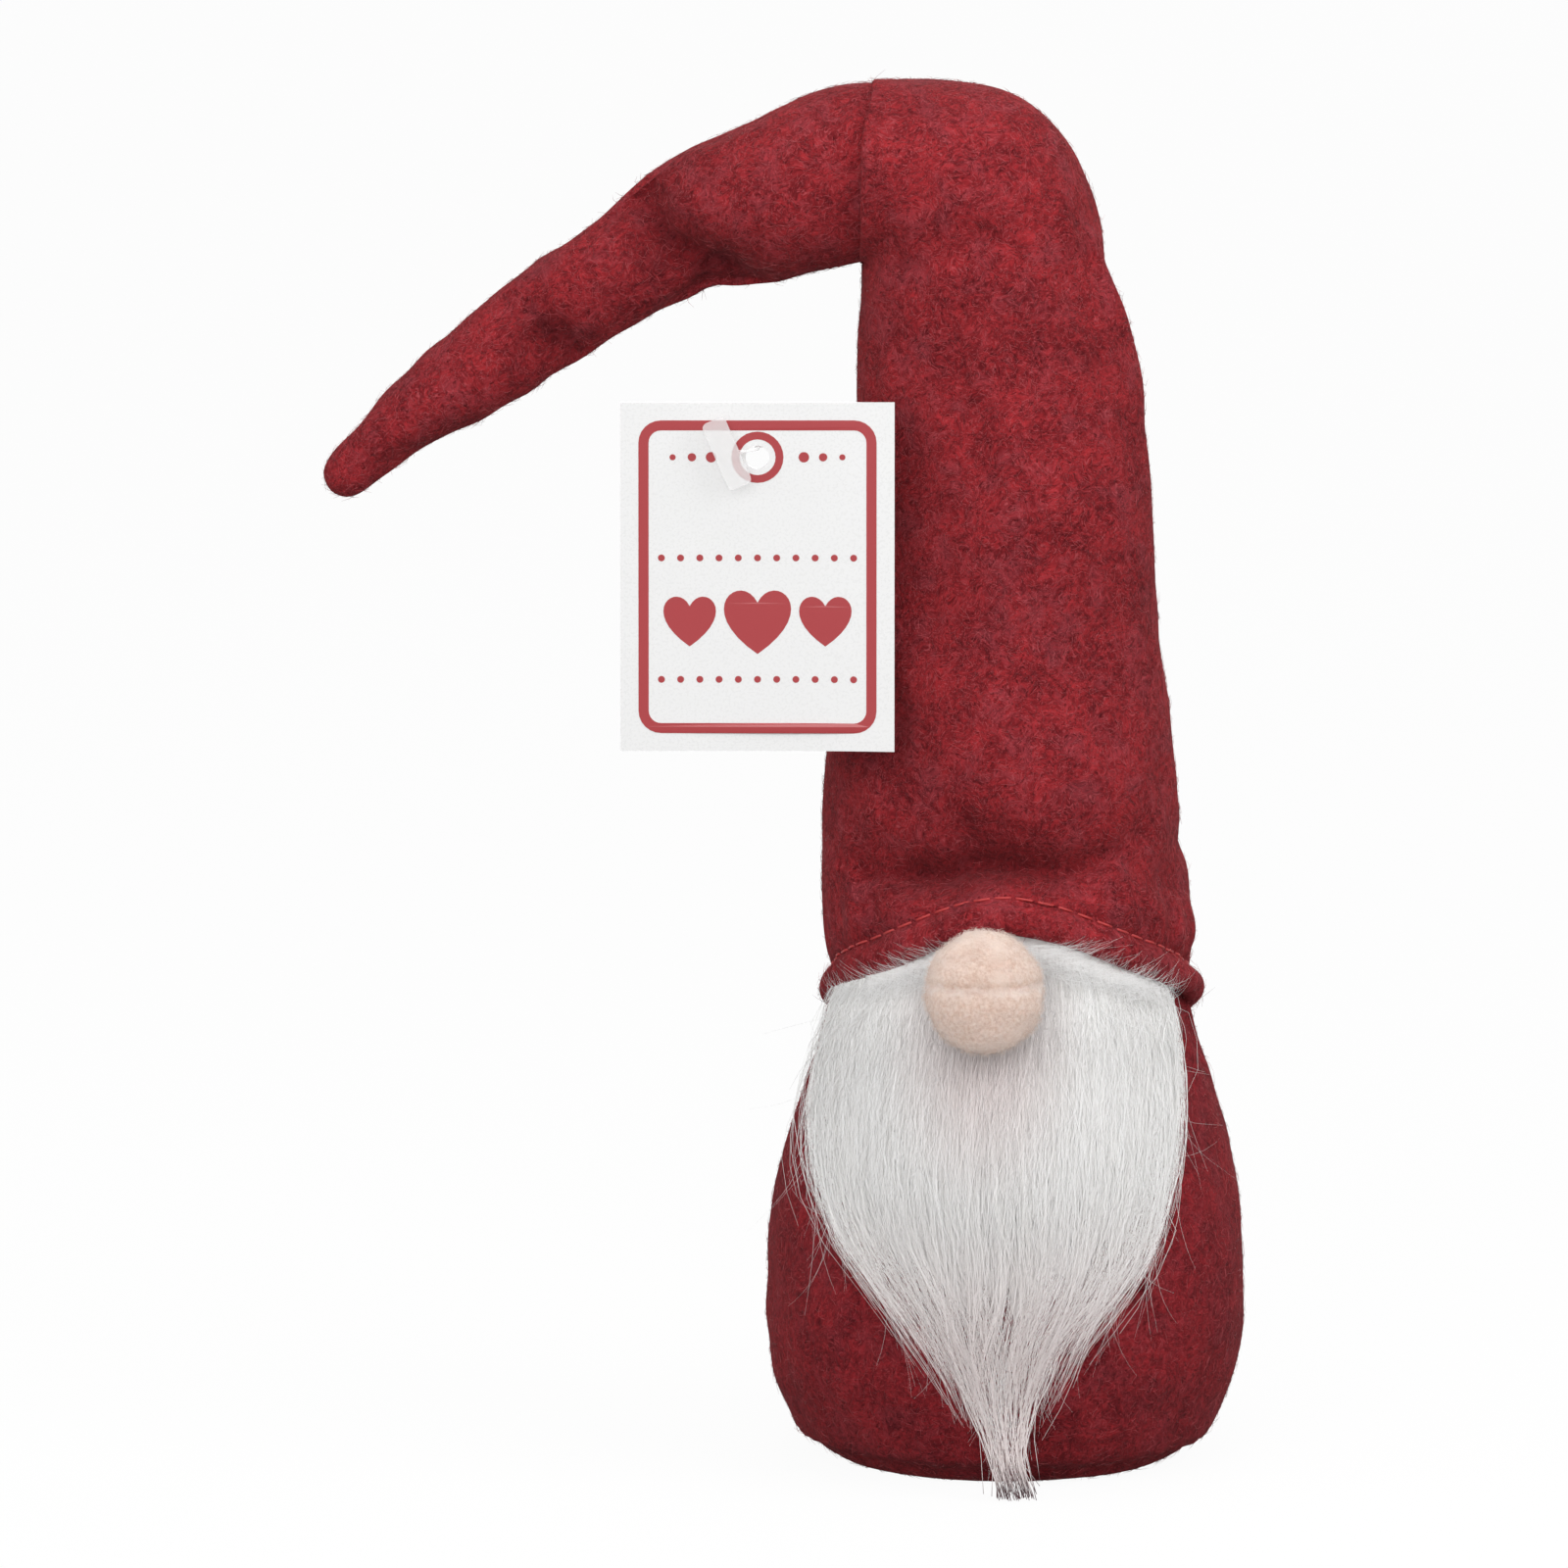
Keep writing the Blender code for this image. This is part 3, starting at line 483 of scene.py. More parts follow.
def hat_pocket(turn, top_inset, low_inset, side_inset, inwards):
    """A place on the turned-in lip behind the fold, where the tip is tucked in."""
    low = fold_corner.z + 0.8 * mm + low_inset
    high = fold_corner.z + read_line(DOME_REACH, 90) - top_inset
    deep = 17.3 * mm - side_inset
    height = (low + high) / 2 - (high - low) / 2 * math.cos(turn)
    rise = (height - low) / (high - low)
    lip = fold_corner.x + 0.8 * mm * math.pi / 2 + 2.6 * mm * rise**4
    return Vector((lip + inwards, -deep * math.sin(turn), height))


def ring_of(shape, places):
    """A closed loop of edges through these places."""
    points = [shape.verts.new(place) for place in places]
    return [shape.edges.new(pair) for pair in zip(points, points[1:] + points[:1])]


def bridged(rings, close_first=False, close_last=False):
    """The skin through closed rings, with or without end faces."""
    shape = bmesh.new()
    loops = [ring_of(shape, ring) for ring in rings]
    for loop, following in zip(loops, loops[1:]):
        bmesh.ops.bridge_loops(shape, edges=loop + following)
    for loop, closed in ((loops[0], close_first), (loops[-1], close_last)):
        if closed:
            cap = bmesh.ops.contextual_create(shape, geom=loop)["faces"]
            bmesh.ops.poke(shape, faces=cap)
    bmesh.ops.recalc_face_normals(shape, faces=shape.faces)
    return shape


HEM_ROLL = (
    (4.5, -2.6), (2.2, -2.3), (0.7, -1.9), (0.0, -1.0), (0.2, 0.1), (1.2, 1.1), (2.8, 1.6), (4.4, 1.4),
    (5.6, 0.7), (6.3, -0.1), (6.7, -0.55), (7.2, -0.1), (8.4, 0.35), (10.8, 0.4),
)
HEM_LOBES = (0.15, 0.55)
POCKET = (
    (0.2, 0.3, 0.1, -0.5), (0.7, 0.9, 0.9, -0.3), (0.9, 1.6, 1.3, 0.8), (1.2, 2.6, 1.8, 4.0), (5, 6, 5, 11)
)

turns = [2 * math.pi * i / 44 for i in range(44)]
rings = []
for up, out in HEM_ROLL:
    ring = []
    for turn in turns:
        lobe = 1 + HEM_LOBES[math.cos(turn) < 0] * math.cos(turn) ** 4 if out > 0 else 1
        ring.append(hat_side(turn, hem_height(turn) + up * mm, out * lobe * mm))
    rings.append(ring)
level = 122 * mm
for share in (0.2, 0.4, 0.6, 0.8):
    ring = []
    for turn in turns:
        start = hem_height(turn) + HEM_ROLL[-1][0] * mm
        ring.append(hat_side(turn, start + (level - start) * share, 0.3 * mm * (1 - share)))
    rings.append(ring)
for i in range(10):
    rings.append([hat_side(turn, level + (throat_height - level) * i / 10) for turn in turns])
for i in range(10):
    rings.append([hat_dome(turn, math.radians(8.6 * i)) for turn in turns])
rings.append([hat_pocket(turn, 0, -0.1 * mm, -0.4 * mm, 0) for turn in turns])
for top_inset, low_inset, side_inset, inwards in POCKET:
    insets = (top_inset * mm, low_inset * mm, side_inset * mm, inwards * mm)
    rings.append([hat_pocket(turn, *insets) for turn in turns])
hat_felt = piece_of("hat_felt", bridged(rings, close_last=True), felt_hat)
refine(hat_felt, 1)


def off_hem(points):
    """How far round the hat and how far above the hem places lie. The lift over the nose is left out."""
    x, y, z = points.T
    turn = np.arctan2(-y, -x)
    return turn, z - (hem_side_height + hem_tilt * np.sin(turn))


def hat_freedom(points):
    x, _, z = points.T
    _, above_hem = off_hem(points)
    free = smooth_step(above_hem, 9 * mm, 22 * mm) * smooth_step(x, -25 * mm, -12 * mm)
    return free * smooth_step(-z, -232 * mm, -200 * mm)


stuff(hat_felt, hat_freedom, swell=0.7 * mm, reach=1.2 * mm)
refine(hat_felt, 1)


def hat_hills(points, normals):
    x, y, z = points.T
    turn, above_hem = off_hem(points)
    free = smooth_step(above_hem, 9 * mm, 26 * mm)
    hills = 0.60 * mm * lumps(points, 34 * mm, 11) * free + 0.28 * mm * lumps(points, 12 * mm, 12) * free
    hills += 0.45 * mm * ridge(above_hem - 12 * mm, 6 * mm) * np.sin(19 * turn + 3 * np.sin(2 * turn))
    behind = smooth_step(y, 2 * mm, 8 * mm) * smooth_step(-z, -240 * mm, -226 * mm)
    return hills + behind * back_seam(x + 0.06 * (z - 90 * mm), 1.0 * mm, 0.35 * mm)


HAT_FOLDS = (
    (
        ((-24, 108.5), (-17, 107.8), (-10, 108.2), (-4, 110.4), (3, 110.2), (9, 109.4), (17, 111.5)),
        9.0, 6.8, 2.8,
    ),
    (((-14, 104), (-4, 105), (8, 105)), -1.4, 4.0, 4.0),
    (((-22, 98), (-23.5, 108), (-20, 121)), 1.3, 2.4, 3.0),
    (((-27.5, 96), (-27.8, 104), (-27, 113)), -0.9, 2.0, 2.0),
    (((28.6, 94), (29.4, 102), (29.2, 112)), 1.1, 1.8, 1.8),
    (((20, 197), (14, 201), (8, 204)), 1.3, 3.0, 5.0),
    (((-22, 125), (-27, 136)), 1.3, 5.0, 5.0),
    (((2, 165), (14, 160), (25, 158)), 0.8, 5.0, 7.0),
)
push(hat_felt, hat_hills)
press_in(hat_felt, HAT_FOLDS, 14 * mm)
wall(hat_felt, 0.5 * mm)
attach(hat_felt, "body")
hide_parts("hat_upright", "hat_stuffing")


# Hat, bent tip. The thin end of the same felt cone, stuffed round a bending wire, so it holds itself
# out to the left. It is crumpled where it was bent, and its root is tucked in behind the fold.

TIP_LINE = (
    (-15.0, 232.6, 12.6), (-18.5, 232.7, 14.2), (-22.0, 232.3, 15.5), (-25.5, 231.5, 16.1),
    (-31.8, 229.9, 15.8), (-40.4, 227.1, 14.9), (-46.8, 224.7, 13.9), (-54.0, 222.0, 12.7),
    (-57.9, 220.0, 11.7), (-63.2, 217.3, 10.7), (-68.4, 214.6, 9.9), (-73.6, 211.5, 9.5),
    (-82.0, 205.5, 9.5), (-90.3, 198.9, 8.9), (-99.2, 192.3, 8.1), (-103.5, 189.2, 7.5),
    (-107.1, 186.3, 6.8), (-110.0, 183.5, 5.9), (-113.0, 180.6, 5.3), (-116.8, 176.6, 5.0),
)
TIP_DEPTHS = ((-42, 1.03), (-33, 0.99), (-25, 0.90))


def tip_ring(middle, along, radius):
    """An upright oval across the tip's centre line."""
    up = Vector((0, 1, 0)).cross(along)
    depth = radius * float(np.interp(middle.x / mm, *zip(*TIP_DEPTHS)))
    oval = []
    for i in range(28):
        turn = 2 * math.pi * i / 28
        side = Vector((0, depth * math.sin(turn), 0))
        oval.append(middle + up * (radius * math.cos(turn)) + side)
    return oval


middles = [Vector((x, 0, z)) * mm for x, z, _ in TIP_LINE]
radii = [radius * mm for _, _, radius in TIP_LINE]
root_along = (middles[1] - middles[0]).normalized()
rings = []
for back in (4, 2):
    rings.append(tip_ring(middles[0] - root_along * back * mm, root_along, radii[0] * (1 - 0.2 * back)))
for i, (middle, radius) in enumerate(zip(middles, radii)):
    along = (middles[min(i + 1, len(middles) - 1)] - middles[max(i - 1, 0)]).normalized()
    rings.append(tip_ring(middle, along, radius))
for ahead in (32, 60, 80):
    angle = math.radians(ahead)
    middle = middles[-1] + along * radii[-1] * math.sin(angle)
    rings.append(tip_ring(middle, along, radii[-1] * math.cos(angle)))
tip_felt = piece_of("tip_felt", bridged(rings, close_first=True, close_last=True), felt_hat)
refine(tip_felt, 1)
stuff(tip_felt, lambda points: smooth_step(-points[:, 0], 36 * mm, 52 * mm), swell=0.3 * mm, reach=0.7 * mm)
refine(tip_felt, 1)

TIP_FOLDS = (
    (
        (
            (-43.6, 210.9), (-46.6, 214.7), (-49.9, 217.2), (-54.4, 218.3),
            (-59.3, 220.7), (-61.8, 225.4), (-62.8, 231),
        ),
        6.5, 8.0, 3.4,
    ),
    (((-74.5, 199.5), (-77.8, 202.3), (-80.6, 204.5), (-82.4, 206.8)), 4.6, 6.0, 2.4),
    (((-93, 181.5), (-99, 182), (-107, 181)), 1.6, 5.0, 3.0),
    (((-40, 236), (-46, 230), (-48, 225)), -1.6, 6.0, 6.0),
)


def tip_hills(points, normals):
    free = smooth_step(-points[:, 0], 34 * mm, 46 * mm)
    return 0.45 * mm * lumps(points, 22 * mm, 21) * free + 0.22 * mm * lumps(points, 8 * mm, 22) * free


def bend_with_tip(piece):
    """Applies the piece's placement to its mesh; it is not tied to the body or the tip."""
    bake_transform(piece)


push(tip_felt, tip_hills)
press_in(tip_felt, TIP_FOLDS, 5 * mm)
bend_with_tip(tip_felt)
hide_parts("hat_tip", "tip_stuffing")

made, shader, place = new_shader("bending_wire")
drawn = clouds(place, 1.2 * mm, 3.0)
steel = mixed(drawn, (0.30, 0.30, 0.31), (0.48, 0.48, 0.49))
plug(shader, Base_Color=steel, Roughness=ranged(drawn, 0.30, 0.50), Metallic=1.0)
dress("hat_wire_lower", made)
dress("hat_wire_tip", made)


# Hem stitching. Red sewing thread in even running stitches, pulled into the felt along the top of
# the turned-up hem, all the way round the hat.

def mesh_along(curve):
    """The mesh of a curve, which is then removed."""
    guide = add_object(curve.name, curve)
    mesh = bpy.data.meshes.new_from_object(guide.evaluated_get(bpy.context.evaluated_depsgraph_get()))
    bpy.data.objects.remove(guide)
    bpy.data.curves.remove(curve)
    return mesh


def add_spline(curve, places):
    """A line of straight runs through places with four values each."""
    spline = curve.splines.new("POLY")
    spline.points.add(len(places) - 1)
    spline.points.foreach_set("co", [value for place in places for value in place])
    return spline


def tubes(name, routes, radius, finish, sides=1):
    """Round threads along several routes, each a list of (place, share of the radius), as one mesh."""
    curve = bpy.data.curves.new(name, "CURVE")
    curve.dimensions = "3D"
    curve.bevel_depth = radius
    curve.bevel_resolution = sides
    curve.use_fill_caps = True
    for route in routes:
        spline = add_spline(curve, [(*place, 1) for place, _ in route])
        spline.points.foreach_set("radius", [share for _, share in route])
    return show(name, mesh_along(curve), finish)


def thread(name, colour, twist):
    """Twisted sewing thread."""
    made, shader, place = new_shader(name)
    strands = clouds(place, twist, 2.0)
    tone = mixed(strands, [0.7 * part for part in colour], colour)
    plug(shader, Base_Color=tone, Normal=bumps(strands, 0.4, 0.1 * mm), Roughness=0.55)
    return made


stitch_count = 54
stitch_radius = 0.26 * mm
stitch_share = 0.86
stitch_rise = 6.7 * mm
STITCH = ((0.0, -0.8, 0.7), (0.12, 0.0, 1.0), (0.5, 0.15, 1.0), (0.88, 0.0, 1.0), (1.0, -0.8, 0.7))
hat_skin = BVHTree.FromPolygons(
    [vertex.co for vertex in hat_felt.data.vertices], [face.vertices for face in hat_felt.data.polygons]
)


def on_hat(turn, height, out):
    """A place this far off the hat's skin, found from outside."""
    start = hat_side(turn, height, 25 * mm)
    inwards = Vector((-start.x, -start.y, 0)).normalized()
    return hat_skin.ray_cast(start, inwards)[0] - inwards * out


routes = []
for i in range(stitch_count):
    route = []
    for share, out, thick in STITCH:
        turn = 2 * math.pi * (i + share * stitch_share) / stitch_count
        route.append((on_hat(turn, hem_height(turn) + stitch_rise, out * mm), thick))
    routes.append(route)
red_thread = thread("stitch_thread", (0.46, 0.030, 0.030), 0.4 * mm)
hem_stitches = tubes("hem_stitches", routes, stitch_radius, red_thread)
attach(hem_stitches, "body")
dress("gather_thread", thread("gather_thread", (0.36, 0.024, 0.026), 0.6 * mm))


# Beard. Long white pile on a woven backing, combed to a point in the middle. The upper pile is held
# by the hat's hem and the nose, and the lower pile hangs free over the belly down to the table.

BEARD_LEFT = (
    (0, -2.4), (3, -3), (11, -5.4), (21, -10.4), (32, -18), (39.3, -24.3), (45.2, -29.6), (51.1, -32.6),
    (57.1, -34.4), (65, -35), (72.4, -34.2), (79, -32.6), (84, -31.2), (97, -27.0),
)
BEARD_RIGHT = (
    (0, 4), (4, 3.6), (9, 4.4), (17, 7.5), (27, 12.6), (35.5, 20.4), (42.8, 26), (52.6, 29.6), (59.7, 31),
    (66.1, 31.8), (73.3, 31.8), (79.6, 31), (85, 30), (97, 27.0),
)
pile_depth = 1.6 * mm


def beard_x(side, heights):
    """Where a strand that starts this share of the way to the left or right edge lies across the beard."""
    left = read_line(BEARD_LEFT, heights / mm)
    right = read_line(BEARD_RIGHT, heights / mm)
    return (left + right) / 2 + side * (right - left) / 2


def beard_front(x, heights, lift, nearest=6 * mm):
    """How far in front the pile lies at this place, lifted off the sack and the hat's lining by so much.
    Beside the sack it stays in front by the nearest distance."""
    under_hat = np.interp(heights, [74 * mm, 97 * mm], [33.6 * mm, 31.2 * mm])
    around = np.where(heights > 74 * mm, under_hat, sack_radius(np.maximum(heights, belly_height))) + lift
    return -np.sqrt(np.maximum(around**2 - x**2, nearest**2))


rosy = (0.70, 0.55, 0.54)
nose_low, nose_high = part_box("nose_cover")
# A place under the nose, round which shade is painted into the pile.
nose_shade = Vector(((nose_low.x + nose_high.x) / 2, nose_high.y, nose_low.z))


def tint_low_and_shade(place, colour):
    """The colour with a rosy tint low on the belly, where the pile is thin and the red felt shows through,
    and with rosy painted shade round a place under the nose, which stands in for the nose's shadow."""
    tree = place.id_data
    height = add_node(tree, "SeparateXYZ", i0=place).outputs[2]
    oval = {"vector_type": "TEXTURE"}
    around = add_node(tree, "Mapping", oval, Vector=place, Location=nose_shade, Scale=(0.6, 1, 1))
    away = add_node(tree, "VectorMath", {"operation": "LENGTH"}, i0=around.outputs[0]).outputs["Value"]
    thin = times(step_between(height, 58 * mm, 16 * mm), 0.50)
    # Painted shade under the nose and down the middle below it.
    shaded = times(step_between(away, 34 * mm, 4 * mm), 0.45)
    return mixed(sum_up(thin, shaded, "MAXIMUM"), colour, rosy)


def hair(name, root, tip, end=None, tinted=False):
    """A fibre of one colour at its root and another at its tip, along the strand's own map. It may have a
    dark end, which is painted shade at the tip, and it may be tinted low down, with painted shade under the
    nose."""
    made, shader, place = new_shader(name)
    strand_map = add_node(made.node_tree, "UVMap", {"uv_map": "OFBake"}).outputs[0]
    along = add_node(made.node_tree, "SeparateXYZ", i0=strand_map).outputs[0]
    colour = mixed(step_between(along, 0.0, 0.5), root, tip)
    if tinted:
        colour = tint_low_and_shade(place, colour)
    # Painted shade: a dark end at the tip.
    if end:
        colour = mixed(step_between(along, 0.92, 0.99), colour, end)
    plug(shader, Base_Color=colour, Roughness=0.5, Specular_IOR_Level=0.3)
    return made


def strand_mesh(name, places, thickness, finish, thin=0.25):
    """Tapered strands through places[strand, point], as one mesh with a map along each strand."""
    tapers = np.linspace(1.0, thin, places.shape[1])
    routes = [list(zip(strand, tapers * thick)) for strand, thick in zip(places, thickness)]
    made = tubes(name, routes, 1.0, finish, sides=0)
    made.data.uv_layers[0].name = "OFBake"
    return made


under_low = 35 * mm


def pile_lift(side, heights):
    """How far the dense lower layer of pile stands off what is behind it."""
    full = np.cos(np.clip(side, -1, 1) * math.pi / 2) ** 0.6
    puffed = smooth_step(-heights, -92 * mm, -80 * mm) * smooth_step(heights, 41 * mm, 58 * mm)
    return 0.5 * mm + 3.0 * mm * full * puffed


def beard_sheet(name, columns, rows, place, finish, thickness):
    """A sheet behind the pile's face, with place(side, share) for each share across and up."""
    sheet = bmesh.new()
    bmesh.ops.create_grid(sheet, x_segments=columns, y_segments=rows, size=0.5)
    for point in sheet.verts:
        point.co = place(2 * point.co.x, point.co.y + 0.5)
    bmesh.ops.recalc_face_normals(sheet, faces=sheet.faces)
    made = piece_of(name, sheet, finish)
    if made.data.polygons[0].normal.y > 0:
        made.data.flip_normals()
    wall(made, thickness)
    return made


def under_place(side, share):
    top = hem_height(math.pi / 2 + math.asin(0.79 * side)) + 1.5 * mm
    low = under_low + 12 * mm * abs(side) ** 2 + 3.5 * mm * math.sin(19 * side + 2 * math.sin(7 * side))
    height = np.array(low + (top - low) * share)
    x = beard_x(side * 0.84, height)
    locks = 0.35 * math.sin(23 * side + 3 * share) + 0.25 * math.sin(41 * side - 5 * share)
    lift = pile_lift(side, height) + locks * mm * smooth_step(-height, -88 * mm, -76 * mm)
    return x, beard_front(x, height, lift), height


def hang(piece):
    """Applies the piece's placement to its mesh; it is not tied to the body or the beard."""
    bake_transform(piece)


made, shader, place = new_shader("under_pile")
combed = streaks(place, 14 * mm, 0.35 * mm, (0, math.pi / 2, 0))
# The under-pile also takes the low tint and the painted shade under the nose.
tone = tint_low_and_shade(place, mixed(combed, (0.72, 0.71, 0.69), (0.96, 0.955, 0.945)))
plug(shader, Base_Color=tone, Normal=bumps(combed, 0.6, 0.3 * mm), Roughness=0.7)
under_pile = beard_sheet("under_pile", 56, 44, under_place, made, 0.6 * mm)
apply_all(under_pile)
hang(under_pile)
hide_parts("beard_root", "beard_flap")

STRAND_POINTS = 9
strand_tints = (
    ((0.86, 0.85, 0.835), (0.95, 0.945, 0.935)),
    ((0.74, 0.725, 0.705), (0.88, 0.87, 0.855)),
    ((0.93, 0.925, 0.915), (0.98, 0.98, 0.975)),
    ((0.66, 0.645, 0.625), (0.82, 0.81, 0.795)),
    ((0.90, 0.895, 0.885), (0.97, 0.965, 0.96)),
    ((0.80, 0.79, 0.77), (0.92, 0.91, 0.90)),
)
strands_each = 1500
dice = np.random.default_rng(5)
lock_count = 22
lock_sides = (np.arange(lock_count) + dice.uniform(0.05, 0.95, lock_count)) * 2 / lock_count - 1
lock_waves = dice.uniform(0, 2 * math.pi, lock_count)
lock_lifts = dice.uniform(0, 1.8, lock_count) * mm
lock_drifts = dice.normal(0, 0.045, lock_count)


def column(low, high, count):
    """One random value for each strand, to go with the points along it."""
    return dice.uniform(low, high, (count, 1))


def half_beard(side, heights):
    """Half the width of the beard at these heights, on the side that a strand lies on."""
    middle = beard_x(0.0, heights)
    return np.where(side < 0, middle - beard_x(-1.0, heights), beard_x(1.0, heights) - middle)


def play(heights):
    """How freely strands stray beyond the beard's edge: not at the tied tip, and most above the belly."""
    return smooth_step(heights, 0.0, 30 * mm) * (1 - 0.5 * smooth_step(heights, 55 * mm, 75 * mm))


def comb(count, spread, fullness, wild):
    """Places along this many strands, each from its root on the backing down to its tip. Wild ones wave
    across the locks that the others are gathered in."""
    side = dice.uniform(-1, 1, count)[:, None]
    edge = np.array([hem_height(math.pi / 2 + math.asin(0.94 * value)) for value in side[:, 0]])[:, None]
    end = 75 * mm * column(0, 1, count) ** 0.41
    end = np.maximum(end, column(2, 22, count) * mm)
    root = np.clip(end + column(34, 62, count) * mm, 50 * mm, edge + 2.5 * mm)
    close = column(0.72, 1.0, count)
    beyond = dice.exponential(1.7 * mm, (count, 1))
    at_root = half_beard(side, root)

    def lane(heights):
        return side * ((1 - close) * at_root + close * half_beard(side, heights))

    tries = root + (end - root) * np.linspace(0, 1, 30)[None, :]
    outside = np.abs(lane(tries)) > half_beard(side, tries) + beyond * play(tries)
    last = np.where(outside.any(axis=1), outside.argmax(axis=1), 29)
    end = np.minimum(tries[np.arange(count), last][:, None], root - 14 * mm)
    end = np.maximum(end, column(3, 15, count) * mm)

    share = np.linspace(0, 1, STRAND_POINTS)[None, :]
    height = root + (end - root) * share
    lock = np.argmin(np.abs(lock_sides[None, :] - side), axis=1)
    gathered = smooth_step(-height, -66 * mm, -22 * mm)
    tied = 1 - 0.9 * column(0, 1, count) ** 2.5
    pull = (lock_sides[lock][:, None] - side) * half_beard(side, height) * tied * gathered * (1 - 0.8 * wild)
    phase = dice.uniform(0, 2 * math.pi, (3, count, 1))
    wander = dice.normal(0, spread, (count, 1)) * np.sin(4.5 * share + phase[0])
    wander += dice.normal(0, 0.45 * spread, (count, 1)) * np.sin(11 * share + phase[1])
    wander *= smooth_step(share, 0.0, 0.35) * (1 - (0.75 - 0.5 * wild) * gathered)
    wander += 0.022 * dice.standard_t(1.8, (count, 1)) * (root - height)
    wander += 1.2 * mm * np.sin(height / (8 * mm) + lock_waves[lock][:, None]) * gathered
    wander += lock_drifts[lock][:, None] * (72 * mm - height) * gathered
    offset = lane(height) + pull + wander
    room = half_beard(offset, height) + beyond * play(height)
    crowd = np.abs(offset) / room
    crowd = np.where(crowd < 0.85, crowd, 0.85 + 0.15 * np.tanh((crowd - 0.85) / 0.15))
    x = beard_x(0.0, height) + np.sign(offset) * crowd * room

    layer = column(0, 1, count) * fullness
    grown = smooth_step(root - height, 0.0, 14 * mm)
    clear = smooth_step(edge - height, -1.0 * mm, 6 * mm)
    lift = pile_lift(side, height) + (0.1 * mm + (0.4 * mm + pile_depth * layer) * grown) * clear
    lift += lock_lifts[lock][:, None] * gathered - 1.3 * mm * (1 - clear)
    lift += dice.exponential(0.8 * mm, (count, 1)) * smooth_step(np.abs(side), 0.7, 1.0) * clear * share
    lift += 0.35 * mm * dice.normal(0, 1, (count, 1)) * np.sin(7 * share + phase[2]) * share * clear
    return np.stack([x, beard_front(x, height, np.maximum(lift, -0.8 * mm)), height], axis=2)


def soften(piece, towards, amount):
    """Turns the shading towards towards(points), as light scattered by soft dense fibres does."""
    goal = towards(points_of(piece.data))
    turned = normals_of(piece.data) + amount * goal / np.linalg.norm(goal, axis=1)[:, None]
    turned /= np.linalg.norm(turned, axis=1)[:, None]
    piece.data.normals_split_custom_set_from_vertices(turned)


def hang_pile(name, places, thickness, finish, thin=0.25, soft=0.7):
    """A layer of pile. The softer, the more its shading follows the beard's round front."""
    pile = strand_mesh(name, places, thickness, finish, thin)
    soften(pile, lambda points: points * (1, 1, 0), soft)
    hang(pile)


for i, (root_tint, tip_tint) in enumerate(strand_tints):
    places = comb(strands_each, 1.8 * mm, 1.0, wild=0.3 * (i % 2))
    thickness = dice.uniform(0.04, 0.085, strands_each) * mm
    finish = hair(f"beard_hair_{i + 1}", root_tint, tip_tint, tinted=True)
    hang_pile(f"beard_pile_{i + 1}", places, thickness, finish)

over_count = 520
hang_pile(
    "over_hairs",
    comb(over_count, 4.5 * mm, 1.3, wild=1.0),
    dice.uniform(0.022, 0.042, over_count) * mm,
    hair("over_hair", (0.92, 0.915, 0.90), (0.97, 0.965, 0.96), tinted=True),
)

loose_soft = 3.0
fringe_count = 1400
fringe = []
for turn in dice.uniform(0.48, math.pi - 0.62, fringe_count):
    root = dice.uniform(-7, -1)
    drift = dice.normal(0, 0.18)
    bow = dice.uniform(0.1, 0.8)
    rise = -2.2 + 2.8 * dice.uniform() ** 1.5
    strand = []
    for share in np.linspace(0, 1, STRAND_POINTS):
        up = root + (rise - root) * share
        out = -1.2 + 3.2 * float(smooth_step(share, 0.0, 0.45)) + bow * math.sin(math.pi * share)
        strand.append(hat_side(turn + drift * share, hem_height(turn) + up * mm, out * mm))
    fringe.append(strand)
hang_pile(
    "hem_fringe",
    np.array(fringe),
    dice.uniform(0.016, 0.030, fringe_count) * mm,
    hair("fringe_hair", (0.94, 0.935, 0.925), (0.98, 0.975, 0.97)),
    soft=loose_soft,
)

# Tufts that hang down to the table; their dark ends are painted shade, where the tips lie by the table.
tuft_count = 120
share = np.linspace(0, 1, STRAND_POINTS)[None, :]
height = column(22, 42, tuft_count) * mm * (1 - share) ** 0.8
height += dice.exponential(1.3, (tuft_count, 1)) * mm + 0.3 * mm
x = beard_x(column(-0.8, 0.8, tuft_count), height)
x += dice.normal(1.2, 1.7, (tuft_count, 1)) * mm * share**6
x += 0.6 * mm * np.sin(5 * share + column(0, 6, tuft_count))
lift = (1.0 + column(0.2, 1.6, tuft_count) * share + column(0.2, 3.4, tuft_count) * share**8) * mm
hang_pile(
    "beard_tuft",
    np.stack([x, beard_front(x, height, lift), height], axis=2),
    dice.uniform(0.05, 0.10, tuft_count) * mm,
    hair("tuft_hair", (0.86, 0.85, 0.835), (0.93, 0.92, 0.91), end=(0.085, 0.040, 0.046), tinted=True),
    thin=0.8,
)


def loose(side, root, lean, curl, length, lift):
    """Places along loose hairs. Each starts at a share of the beard's width, runs along the pile at an
    angle to it, and curls. The lower it starts, the closer it keeps to the pile."""
    below = root - 6 * mm
    strays = (lean + curl * share) * smooth_step(root, 10 * mm, 62 * mm)
    angle = np.arctan2(beard_x(side, below) - beard_x(side, root), 6 * mm) + strays
    step = length / (STRAND_POINTS - 1)
    x = beard_x(side, root) + np.cumsum(np.sin(angle), axis=1) * step
    height = np.maximum(root - np.cumsum(np.cos(angle), axis=1) * step, 1 * mm)
    now = np.clip((x - beard_x(0.0, height)) / half_beard(side, height), -1, 1)
    off = pile_lift(now, height) + lift * mm * (0.4 + 0.6 * share)
    return np.stack([x, beard_front(x, height, off, nearest=16 * mm), height], axis=2)


